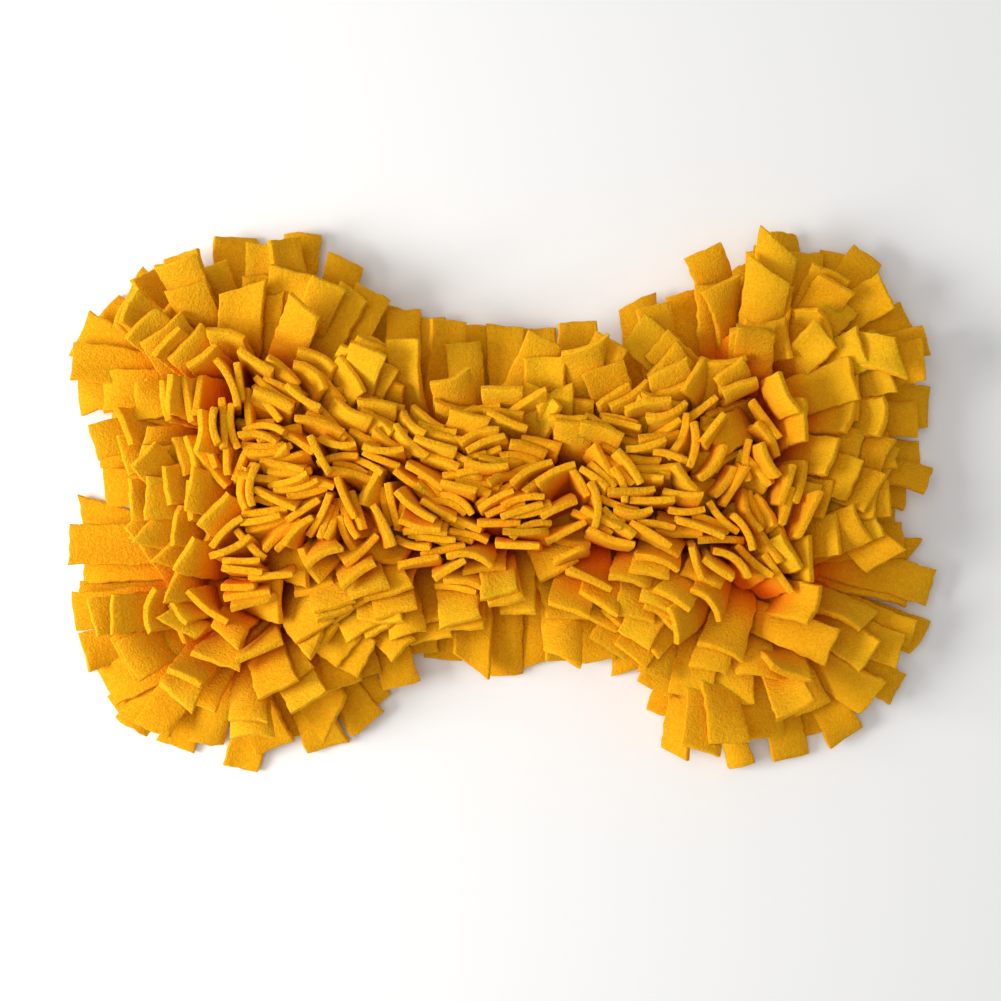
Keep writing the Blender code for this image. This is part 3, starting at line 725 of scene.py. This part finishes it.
def goal_pose(strips, spread):
    """Each strip's grid of points as it would lie alone, opened to a share of its width."""
    lean = lean_along(strips["root_lean"], strips["tip_lean"], strips["curl"])
    step = strips["length"][:, None] / (ALONG - 1)
    out = np.pad(np.cumsum(step * np.sin(lean), axis=1), ((0, 0), (1, 0)))
    up = np.pad(np.cumsum(step * np.cos(lean), axis=1), ((0, 0), (1, 0)))
    lean = np.pad(lean, ((0, 0), (1, 1)), mode="edge")
    lean = (lean[:, 1:] + lean[:, :-1]) / 2
    heading = strips["heading"]
    way = np.stack([np.cos(heading), np.sin(heading), np.zeros(len(step))], axis=1)[:, None]
    upright = np.array((0.0, 0.0, 1.0))
    base = np.concatenate([strips["root"], np.full((len(step), 1), ROOT_HEIGHT)], axis=1)[:, None]
    middle = base + out[..., None] * way + up[..., None] * upright
    along = np.sin(lean)[..., None] * way + np.cos(lean)[..., None] * upright
    turn = strips["turn"][:, None, None]
    across = np.concatenate([np.cos(turn), np.sin(turn), np.zeros_like(turn)], axis=2)
    across = across - (along * across).sum(axis=2, keepdims=True) * along
    across /= np.linalg.norm(across, axis=2, keepdims=True)
    shares = np.linspace(0, 1, ALONG)
    roll = (strips["twist"][:, None] * shares)[..., None]
    across = np.cos(roll) * across + np.sin(roll) * np.cross(along, across)
    face = np.cross(along, across)
    aside, onward, lifted = flat_shape(strips)
    further = onward - strips["length"][:, None, None] * shares[:, None]
    grid = middle[:, :, None] + further[..., None] * along[:, :, None]
    return grid + spread * (aside[..., None] * across[:, :, None] + lifted[..., None] * face[:, :, None])


# What holds a strip's points together: how many rows and columns a tie goes on, and how much of a stretch it
# takes back at once.
TIES = table(
    "rise shift firmness",
    (1, 0, 1.0),
    (0, 1, 1.0),
    (1, 1, 0.6),
    (1, -1, 0.6),
    (2, 0, 0.35),
    (0, 2, 0.6),
    (0, 4, 0.6),
    (4, 0, 0.2),
)


def make_ties(strips):
    """The lengths that hold a strip together, in sets in which no point comes twice."""
    flat = np.stack(flat_shape(strips), axis=3)
    ties = []
    for rise, shift, firmness in (row.values() for row in TIES):
        for odd in range(2):
            if rise:
                rows = [v for v in range(ALONG - rise) if (v // rise) % 2 == odd]
                columns = [u for u in range(ACROSS) if 0 <= u + shift < ACROSS]
            else:
                rows = list(range(ALONG))
                columns = [u for u in range(ACROSS - shift) if (u // shift) % 2 == odd]
            first = np.ix_(range(len(flat)), rows, columns)
            second = np.ix_(range(len(flat)), [v + rise for v in rows], [u + shift for u in columns])
            gap = flat[second] - flat[first]
            ties.append({"first": first, "second": second, "gap": gap, "firmness": firmness})
    return ties


def hold(points, free, ties, spread):
    """Pulls every tie towards its length."""
    for tie in ties:
        first, second = tie["first"], tie["second"]
        rest = np.linalg.norm(tie["gap"] * (spread, 1, spread), axis=-1, keepdims=True)
        a, b = points[first], points[second]
        way = b - a
        now = np.linalg.norm(way, axis=-1, keepdims=True) + 1e-9
        one, two = free[first], free[second]
        shift = tie["firmness"] * (now - rest) / now * way / (one + two + 1e-9)
        points[first] = a + shift * one
        points[second] = b - shift * two


CUP_RESISTANCE = 0.6
ROOT_HOLD = 8.0


def stiff_shapes():
    """What moves a strip's points to the nearest shape that it can take: it bends in one or two long curves,
    while its width tilts, and hardly cups beyond its own cup."""
    along = np.repeat(np.linspace(0, 1, ALONG), ACROSS)
    opened = np.sin(np.minimum(along / GATHERED_SHARE, 1.0) * math.pi / 2)
    aside = np.tile(np.linspace(-0.5, 0.5, ACROSS), ALONG) * (0.4 + 0.6 * opened)
    lines = [along**power for power in range(4)]
    tilts = [aside * along**power for power in range(3)]
    cups = [aside**2 * along**power for power in range(2)]
    shapes = np.stack(lines + tilts + cups, axis=1)
    weighted = shapes * np.where(along == 0, ROOT_HOLD, 1.0)[:, None]
    resistance = np.diag([0.0] * len(lines + tilts) + [CUP_RESISTANCE] * len(cups))
    return shapes @ np.linalg.solve(weighted.T @ shapes + resistance, weighted.T)


def near_pairs(points, strip_of, reach):
    """Pairs of points of different strips that lie within reach of each other."""
    cell = np.floor((points - points.min(axis=0)) / reach).astype(np.int64) + 1
    size = cell.max(axis=0) + 2
    key = (cell[:, 0] * size[1] + cell[:, 1]) * size[2] + cell[:, 2]
    order = np.argsort(key, kind="stable")
    ranked = key[order]
    found = []
    for dx, dy, dz in np.ndindex(3, 3, 3):
        step = ((dx - 1) * size[1] + (dy - 1)) * size[2] + (dz - 1)
        if step < 0:
            continue
        start = np.searchsorted(ranked, ranked + step, "left")
        stop = np.searchsorted(ranked, ranked + step, "right")
        if step == 0:
            start = np.arange(len(ranked)) + 1
        count = np.maximum(stop - start, 0)
        one = np.repeat(np.arange(len(ranked)), count)
        two = np.arange(count.sum()) - np.repeat(np.cumsum(count) - count, count) + np.repeat(start, count)
        one, two = order[one], order[two]
        keep = strip_of[one] != strip_of[two]
        one, two = one[keep], two[keep]
        keep = ((points[one] - points[two]) ** 2).sum(axis=1) < reach**2
        found.append((one[keep], two[keep]))
    return tuple(np.concatenate(side) for side in zip(*found))


CROWD_SHARE = 0.55


def push_apart(points, free, one, two, room):
    """Moves points that are closer than the room between them apart."""
    way = points[two] - points[one]
    now = np.linalg.norm(way, axis=1) + 1e-9
    over = room - now
    hit = over > 0
    one, two, way, now, over = one[hit], two[hit], way[hit], now[hit], over[hit]
    share = free[one] + free[two] + 1e-9
    shift = (over / now / share)[:, None] * way
    total = np.zeros_like(points)
    count = np.bincount(one, minlength=len(points)) + np.bincount(two, minlength=len(points))
    for k in range(3):
        total[:, k] = np.bincount(two, shift[:, k] * free[two], len(points))
        total[:, k] -= np.bincount(one, shift[:, k] * free[one], len(points))
    points += total / np.maximum(CROWD_SHARE * count, 1.0)[:, None]


# The strips are fully open after a share of the rounds, and are pulled to where they would lie alone for most
# of them. Room is how far apart the points of two strips' middle planes are pushed.
ROUNDS_OF_SETTLING = 150
ROUNDS_PER_SEARCH = 4
SEARCH_REACH = 1.5
OPEN_AT_FIRST = 0.15
OPENED_BY = 0.55
PULL = {"strength": 0.05, "until": 0.85}
STIFFNESS = 0.5
ROOM = 0.0041
ROOM_AT_ROOT = 0.0026
WEIGHT = 0.00006
FLOOR_GAP = 0.0006


def settle(strips):
    """Opens the strips from threads to their full width, while they make room for each other."""
    points = goal_pose(strips, OPEN_AT_FIRST)
    shape = points.shape
    count = shape[0]
    strip_of = np.repeat(np.arange(count), ALONG * ACROSS)
    free = np.ones((count, ALONG, ACROSS, 1))
    free[:, 0] = 0
    flat_free = free.reshape(-1)
    ties = make_ties(strips)
    low_row = np.interp(np.arange(ALONG), (0, 3), (ROOM_AT_ROOT, ROOM)) / 2
    radius = np.broadcast_to(low_row[None, :, None], shape[:3]).reshape(-1)
    full = goal_pose(strips, 1.0)
    thread = goal_pose(strips, 0.0)
    stiff = stiff_shapes()
    lifted = flat_shape(strips)[2]
    for turn in range(ROUNDS_OF_SETTLING):
        done = turn / ROUNDS_OF_SETTLING
        spread = OPEN_AT_FIRST + (1 - OPEN_AT_FIRST) * min(done / OPENED_BY, 1.0)
        goal = thread + (full - thread) * spread
        points[:, 0] = goal[:, 0]
        pull = PULL["strength"] * max(1 - done / PULL["until"], 0.0)
        points += pull * (goal - points) * free
        points[..., 2] -= WEIGHT * free[..., 0]
        flat = points.reshape(-1, 3)
        if turn % ROUNDS_PER_SEARCH == 0:
            one, two = near_pairs(flat, strip_of, ROOM * SEARCH_REACH)
            room = radius[one] + radius[two]
        push_apart(flat, flat_free, one, two, room)
        points = flat.reshape(shape)
        hold(points, free, ties, spread)
        own_cup = spread * lifted[..., None] * faces_of(points)[:, :, None]
        fitted = (stiff @ (points - own_cup).reshape(count, -1, 3)).reshape(shape)
        points += STIFFNESS * (fitted + own_cup - points) * free
        lowest = np.where(is_outside(points), FLOOR_GAP, BACKING_TOP) + strips["thickness"][:, None, None] / 2
        points[..., 2] = np.maximum(points[..., 2], lowest)
    return points


def faces_of(points):
    """The way that each row of each strip faces."""
    along = np.gradient(points.mean(axis=2), axis=1)
    face = np.cross(along, points[:, :, -1] - points[:, :, 0])
    return face / (np.linalg.norm(face, axis=2, keepdims=True) + 1e-12)


def is_outside(points):
    """Which points lie outside the backing's edge."""
    index = np.floor((points[..., :2] - grid_low) / GRID_STEP).astype(int)
    index = np.clip(index, 0, np.array(outside_grid.shape) - 1)
    return outside_grid[index[..., 0], index[..., 1]]


# Whether each cell of a grid over the mat lies outside the backing's edge.
GRID_STEP = 0.002
GRID_MARGIN = 0.07
OUTSIDE_FROM = -0.002
grid_low = edge.min(axis=0) - GRID_MARGIN
grid_size = np.ceil((edge.max(axis=0) + GRID_MARGIN - grid_low) / GRID_STEP).astype(int)
grid_cells = np.stack(np.meshgrid(*map(np.arange, grid_size), indexing="ij"), axis=2)
grid_places = grid_low + (grid_cells + 0.5) * GRID_STEP
grid_depths = np.concatenate([depth_and_way_out(row)[0] for row in grid_places])
outside_grid = grid_depths.reshape(grid_size) < OUTSIDE_FROM

SEED = 5
random = np.random.default_rng(SEED)
rim = lay_rim(random)
knots = lay_knots(rim["root"], random)
pairs = lay_pairs(knots, random)
strips = {key: np.concatenate([rim[key], pairs[key]]) for key in rim}
poses = settle(strips)

# Each face of a strip is a grid of so many points, and its cut edges are a little ragged.
RAGGED = 0.0005
ROWS = 18
COLUMNS = 6
FIRST_ROW = 0.02
SHARP_ANGLE = 70

# A cut edge's round, from the face to the middle of the edge: how far in, and how high, as a share of half
# the cloth's thickness.
EDGE_ROUND = table(
    "inset height",
    (0.0007, 1.0),
    (0.0002, 0.86),
    (0.0, 0.56),
)


def blend_matrix(places, count):
    """Weights that read a smooth curve through evenly spaced points at places between 0 and 1."""
    matrix = np.zeros((len(places), count))
    for row, place in enumerate(places * (count - 1)):
        k = min(int(place), count - 2)
        t = place - k
        weights = (
            -0.5 * t + t**2 - 0.5 * t**3,
            1 - 2.5 * t**2 + 1.5 * t**3,
            0.5 * t + 2 * t**2 - 1.5 * t**3,
            -0.5 * t**2 + 0.5 * t**3,
        )
        for step, weight in zip((-1, 0, 1, 2), weights):
            at = k + step
            if at < 0:
                matrix[row, 0] += 2 * weight
                matrix[row, 1] -= weight
            elif at >= count:
                matrix[row, -1] += 2 * weight
                matrix[row, -2] -= weight
            else:
                matrix[row, at] += weight
    return matrix


def middle_sheets(grids, places_v, places_u):
    """Points of the strips' middle planes at those places along and across them, and the way they face."""
    mid = np.einsum("av,bu,svuk->sabk", blend_matrix(places_v, ALONG), blend_matrix(places_u, ACROSS), grids)
    along = np.gradient(mid, axis=1)
    across = np.gradient(mid, axis=2)
    face = np.cross(across, along)
    face /= np.linalg.norm(face, axis=3, keepdims=True) + 1e-12
    return mid, face


# Two strips cross where points of their upper halves lie so near, on both sides of each other, with less than
# that cosine between their faces. A strip with so many such pairs of points is tangled.
UPPER_HALF = np.linspace(0.5, 1, 14)
WHOLE_WIDTH = np.linspace(0, 1, 10)
NEAR = 0.0024
ASKEW = 0.75
TANGLED = 100


def find_room(poses, fixed):
    """Which strips stay, once the tangled ones are pulled out, the worst first. The first ones are fixed."""
    mid, face = middle_sheets(poses, UPPER_HALF, WHOLE_WIDTH)
    strip_of = np.repeat(np.arange(len(poses)), mid.shape[1] * mid.shape[2])
    mid, face = mid.reshape(-1, 3), face.reshape(-1, 3)
    found = np.sort(np.array(near_pairs(mid, strip_of, NEAR)), axis=0)
    found = found[:, np.abs((face[found[0]] * face[found[1]]).sum(axis=1)) < ASKEW]
    lies_above = ((mid[found[0]] - mid[found[1]]) * face[found[1]]).sum(axis=1) > 0
    pair, place = np.unique(strip_of[found], axis=1, return_inverse=True)
    above = np.bincount(place.reshape(-1), lies_above)
    passed = np.minimum(above, np.bincount(place.reshape(-1)) - above)
    stays = np.ones(len(poses), bool)
    while True:
        both = np.where(stays[pair].all(axis=0), passed, 0)
        tangle = np.bincount(pair[0], both, len(poses)) + np.bincount(pair[1], both, len(poses))
        tangle[:fixed] = 0
        if tangle.max() < TANGLED:
            return stays
        stays[tangle.argmax()] = False


stays = find_room(poses, len(RIM))
poses = poses[stays]
strips = {key: strips[key][stays] for key in strips}


def placed(name, data):
    """A new object in the scene."""
    obj = bpy.data.objects.new(name, data)
    bpy.context.scene.collection.objects.link(obj)
    return obj


def strip_mesh(name, grids, thickness, tones_and_rim_shades, openness, random):
    """One mesh of thick strips with rounded cut edges, from their middle planes."""
    count = len(grids)
    inset = EDGE_ROUND[0]["inset"]
    inner_v = np.concatenate([[0.0], np.linspace(FIRST_ROW, 1 - inset / STRIP_LENGTH, ROWS - 1)])
    inner_u = np.linspace(inset / STRIP_WIDTH, 1 - inset / STRIP_WIDTH, COLUMNS)
    outer_v = np.concatenate([inner_v[:-1], [1.0]])
    outer_u = np.concatenate([[0.0], inner_u[1:-1], [1.0]])

    # Once round a strip's edge, and the rings of points that round it off.
    mid, face = middle_sheets(grids, inner_v, inner_u)
    brink, brink_face = middle_sheets(grids, outer_v, outer_u)
    loop = (
        [(v, 0) for v in range(ROWS)]
        + [(ROWS - 1, u) for u in range(1, COLUMNS)]
        + [(v, COLUMNS - 1) for v in range(ROWS - 2, -1, -1)]
        + [(0, u) for u in range(COLUMNS - 2, 0, -1)]
    )
    at_v, at_u = np.array(loop).T
    half = thickness[:, None, None] / 2
    brink, brink_face = brink[:, at_v, at_u], brink_face[:, at_v, at_u]
    outward = brink - mid[:, at_v, at_u]
    outward /= np.linalg.norm(outward, axis=2, keepdims=True) + 1e-12
    brink = brink + outward * random.uniform(-RAGGED, RAGGED, (count, len(loop), 1))
    rings = [brink - outward * row["inset"] + brink_face * half * row["height"] for row in EDGE_ROUND[1:]]
    rings += [brink - outward * row["inset"] - brink_face * half * row["height"] for row in EDGE_ROUND[:0:-1]]
    sides = [(mid + side * half[..., None] * face).reshape(count, -1, 3) for side in (1, -1)]
    places = np.concatenate(sides + rings, axis=1)
    per_strip = places.shape[1]
    around = len(loop)
    size = ROWS * COLUMNS

    # The two faces, and a band between each ring and the next.
    quads = []
    for v in range(ROWS - 1):
        for u in range(COLUMNS - 1):
            k = v * COLUMNS + u
            quads.append((k, k + 1, k + COLUMNS + 1, k + COLUMNS))
            quads.append((size + k, size + k + COLUMNS, size + k + COLUMNS + 1, size + k + 1))
    turns = [[v * COLUMNS + u for v, u in loop]]
    turns += [list(range(2 * size + n * around, 2 * size + (n + 1) * around)) for n in range(len(rings))]
    turns += [[size + k for k in turns[0]]]
    for high, low in zip(turns, turns[1:]):
        for k in range(around):
            n = (k + 1) % around
            quads.append((high[k], high[n], low[n], low[k]))
    faces = (np.array(quads)[None] + np.arange(count)[:, None, None] * per_strip).reshape(-1, 4)
    mesh = bpy.data.meshes.new(name)
    mesh.from_pydata(places.reshape(-1, 3).tolist(), [], faces.tolist())
    mesh.update()
    mesh.shade_smooth()
    mesh.set_sharp_from_angle(angle=math.radians(SHARP_ANGLE))

    # What the cloth's colour reads: a strip's own random tone, painted darker on the rim's low levels as
    # painted shade, its cut edge, and how open to the light each point lies, which sets the painted shade
    # between strips.
    cut = np.zeros((count, per_strip))
    cut[:, 2 * size:] = 0.5
    cut[:, 2 * size + around:per_strip - around] = 1.0
    along = np.concatenate([np.repeat(inner_v, COLUMNS)] * 2 + [inner_v[at_v]] * len(rings))
    read = {"tone_and_rim_shade": np.repeat(tones_and_rim_shades, per_strip), "cut": cut, "open_to_light": openness[:, None] + along}
    for label, amounts in read.items():
        attribute = mesh.attributes.new(label, "FLOAT", "POINT")
        attribute.data.foreach_set("value", amounts.reshape(-1).astype(np.float32))
    return placed(name, mesh)


# Deep orange is painted between the strips and towards their roots. It is painted shade, standing in for the
# light that bounces between them. Their cut edges are a little brighter than their faces.
PAINTED_DEPTH_SHADE = (0.94, 0.175, 0.002, 1)
FACE_SHADES = {"dark": (0.81, 0.35, 0.004, 1), "light": (0.93, 0.55, 0.014, 1)}
EDGE_SHADES = {"dark": (0.90, 0.35, 0.004, 1), "light": (0.95, 0.51, 0.012, 1)}
FLEECE = {
    "Sheen Weight": 0.06,
    "Sheen Tint": (1.0, 0.6, 0.12, 1),
    "Subsurface Weight": 0.45,
    "Subsurface Radius": (1.0, 0.35, 0.05),
    "Subsurface Scale": 0.0022,
}

# The nap is curled fibres about a millimetre across, in tufts, with faint blotches a strip wide.
fleece, fleece_wire = cloth_material("golden_fleece", FLEECE)
fleece_place = fleece_wire.node("ShaderNodeTexCoord", output="Object")
nap = specks(fleece_place, per_metre=1000, detail=2)
tufts = specks(fleece_place, per_metre=450, detail=1)
blotch = specks(fleece_place, per_metre=55)
opened, tone_and_rim_shade, cut = (
    fleece_wire.node("ShaderNodeAttribute", {"attribute_name": label}, output="Fac")
    for label in ("open_to_light", "tone_and_rim_shade", "cut")
)
fleece_light = (nap * 0.6 + tufts * 0.25 + blotch * 0.15).between(0.39, 0.61)
# Each strip's random tone, painted darker on the rim's low levels as painted shade, is mixed with the nap.
face_colour = (fleece_light * 0.5 + tone_and_rim_shade * 0.5).tint(**FACE_SHADES)
# Painted shade: deep orange low on each strip and near its root, and more on upright strips than on those
# that lean open to the light.
face_colour = opened.between(0.62, 1.22).tint(PAINTED_DEPTH_SHADE, face_colour)
fleece_colour = cut.between(0.25, 0.9).tint(face_colour, fleece_light.tint(**EDGE_SHADES))
fleece_relief = {"Height": nap + tufts * 0.5, "Strength": 0.8, "Distance": 0.0009}
cover(fleece, fleece_colour, fleece_wire.node("ShaderNodeBump", {}, fleece_relief))

# Four pieces, each with the strips whose tips lie between two of these places along the mat.
PIECES = ("left_end_strips", "left_middle_strips", "right_middle_strips", "right_end_strips")
PLACES = (-1, -0.085, 0, 0.085, 1)

# How much leaning opens a strip to the light, and the lean, in radians, at which it is fully open.
OPENED_BY_LEAN = 0.7
OPEN_LEAN = 1.2

tips_x = poses[:, -1].mean(axis=1)[:, 0]
tones_and_rim_shades = random.uniform(0, 1, len(tips_x))
# Painted shade: on top of their random tone, the rim's strips are painted darker the lower their level.
tones_and_rim_shades[:len(RIM)] *= [LEVELS[row["level"]]["paleness"] for row in RIM]
openness = OPENED_BY_LEAN * np.minimum(strips["tip_lean"] / OPEN_LEAN, 1.0)
for name, start, end in zip(PIECES, PLACES, PLACES[1:]):
    members = (tips_x >= start) & (tips_x < end)
    own = [values[members] for values in (poses, strips["thickness"], tones_and_rim_shades, openness)]
    piece = strip_mesh(name, *own, random)
    piece.data.materials.append(fleece)
    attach(piece, "root")
    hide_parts("fleece_pile")

# ---- Knots ----
# Under the pile each pair of strips is pulled tight through the backing, which leaves a small lump of
# gathered fleece beside its hole. The lumps lie close enough together to hide the backing from above.

KNOT_SIZES = {"Width": 0.017, "Height": 0.008, "Lumps": 0.0012}
KNOT_DEPTH_SHARE = 0.7
KNOT_VARIETY = (0.85, 1.15)
LUMPS_PER_METRE = 240


def knots_tree():
    """Geometry nodes that put a lump of cloth on each point, and its sizes by their sockets."""
    tree = bpy.data.node_groups.new("knots", "GeometryNodeTree")
    tree.interface.new_socket("Holes", in_out="INPUT", socket_type="NodeSocketGeometry")
    sizes = {}
    for label, size in KNOT_SIZES.items():
        socket = tree.interface.new_socket(label, in_out="INPUT", socket_type="NodeSocketFloat")
        sizes[socket.identifier] = size
    tree.interface.new_socket("Knots", in_out="OUTPUT", socket_type="NodeSocketGeometry")
    wire = Wire(tree)
    labels = ("Holes", *KNOT_SIZES)
    holes, width, height, lumps = (wire.node("NodeGroupInput", output=label) for label in labels)
    ball = wire.node("GeometryNodeMeshIcoSphere", {}, {"Radius": 0.5, "Subdivisions": 2})
    scale = wire.node("ShaderNodeCombineXYZ", {}, {0: width, 1: width * KNOT_DEPTH_SHARE, 2: height})
    flat_ball = wire.node("GeometryNodeTransform", {}, {"Geometry": ball, "Scale": scale})
    turned = {1: (0, 0, math.tau), "Seed": 3}
    turn = wire.node("FunctionNodeRandomValue", {"data_type": "FLOAT_VECTOR"}, turned)
    sized = {2: KNOT_VARIETY[0], 3: KNOT_VARIETY[1], "Seed": 4}
    size = wire.node("FunctionNodeRandomValue", {}, sized, output=1)
    scattered = {"Points": holes, "Instance": flat_ball, "Rotation": turn, "Scale": size}
    lump = wire.node("ShaderNodeTexNoise", {}, {"Scale": LUMPS_PER_METRE, "Detail": 1}) - 0.5
    normal = wire.node("GeometryNodeInputNormal")
    offset = wire.node("ShaderNodeVectorMath", {"operation": "SCALE"}, {0: normal, "Scale": lump * lumps * 2})
    cloth = wire.node("GeometryNodeInstanceOnPoints", {}, scattered)
    for kind, values in (
        ("GeometryNodeRealizeInstances", {}),
        ("GeometryNodeSetPosition", {"Offset": offset}),
        ("GeometryNodeSetShadeSmooth", {}),
        ("GeometryNodeRealizeInstances", {}),
        ("GeometryNodeSetMaterial", {"Material": fleece}),
    ):
        cloth = wire.node(kind, {}, {"Geometry": cloth, **values})
    last = tree.nodes.new("NodeGroupOutput")
    tree.links.new(cloth.socket, last.inputs["Knots"])
    return tree, sizes


def grown(name, mesh, tree, sizes):
    """The plain mesh that a geometry nodes tree makes of another mesh."""
    obj = placed(name, mesh)
    modifier = obj.modifiers.new(name, "NODES")
    modifier.node_group = tree
    for socket, size in sizes.items():
        modifier[socket] = size
    graph = bpy.context.evaluated_depsgraph_get()
    made = bpy.data.meshes.new_from_object(obj.evaluated_get(graph), depsgraph=graph)
    obj.modifiers.remove(modifier)
    obj.data = made
    return obj


KNOT_HEIGHT = BACKING_TOP + 0.0056
holes = bpy.data.meshes.new("holes")
holes.from_pydata([(x, y, KNOT_HEIGHT) for x, y in np.concatenate([rim["root"], knots])], [], [])
# The lumps carry none of the strips' attributes, so the fleece reads each one as 0. That paints them in the
# darkest tone, entirely in the deep orange painted shade.
tied = grown("knots", holes, *knots_tree())
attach(tied, "root")
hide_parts("fleece_pile")

# ---- Studio ----
# A pale floor in pale air, a soft light well to the left, a larger one nearly overhead, and the camera
# straight above.

bpy.ops.mesh.primitive_plane_add(size=6)
floor = bpy.context.object
floor.name = "studio_floor"
paper = bpy.data.materials.new("studio_paper")
paper.use_nodes = True
pale = {"Base Color": (0.95, 0.96, 0.97, 1), "Roughness": 0.9}
set_sockets(paper.node_tree.nodes["Principled BSDF"], pale)
floor.data.materials.append(paper)


def soft_light(name, place, size, power, colour):
    """A square light of that size, turned towards the mat."""
    lamp = bpy.data.lights.new(name, "AREA")
    lamp.energy = power
    lamp.size = size
    lamp.color = colour
    obj = placed(name, lamp)
    obj.location = place
    obj.rotation_euler = (-Vector(place)).to_track_quat("-Z", "Y").to_euler()


soft_light("key", (-1.12, -0.15, 0.84), size=0.62, power=16.5, colour=(1.0, 0.98, 0.94))
soft_light("fill", (-0.4, 0.1, 2.1), size=1.2, power=12.5, colour=(1.0, 0.99, 0.97))
world = bpy.data.worlds.new("studio_air")
bpy.context.scene.world = world
world.use_nodes = True
set_sockets(world.node_tree.nodes["Background"], {"Color": (1, 1, 1, 1), "Strength": 0.32})
bpy.context.scene.view_settings.view_transform = "Standard"

# The picture is that wide at the framed height above the floor.
CAMERA_HEIGHT = 0.93
FRAME_WIDTH = 0.5005
FRAMED_HEIGHT = 0.008
FRAME_CENTRE = (0, 0.0005)
camera = bpy.data.cameras.new("camera")
camera.sensor_width = 36
camera.lens = camera.sensor_width * (CAMERA_HEIGHT - FRAMED_HEIGHT) / FRAME_WIDTH
camera_object = placed("camera", camera)
camera_object.location = (*FRAME_CENTRE, CAMERA_HEIGHT)
bpy.context.scene.camera = camera_object
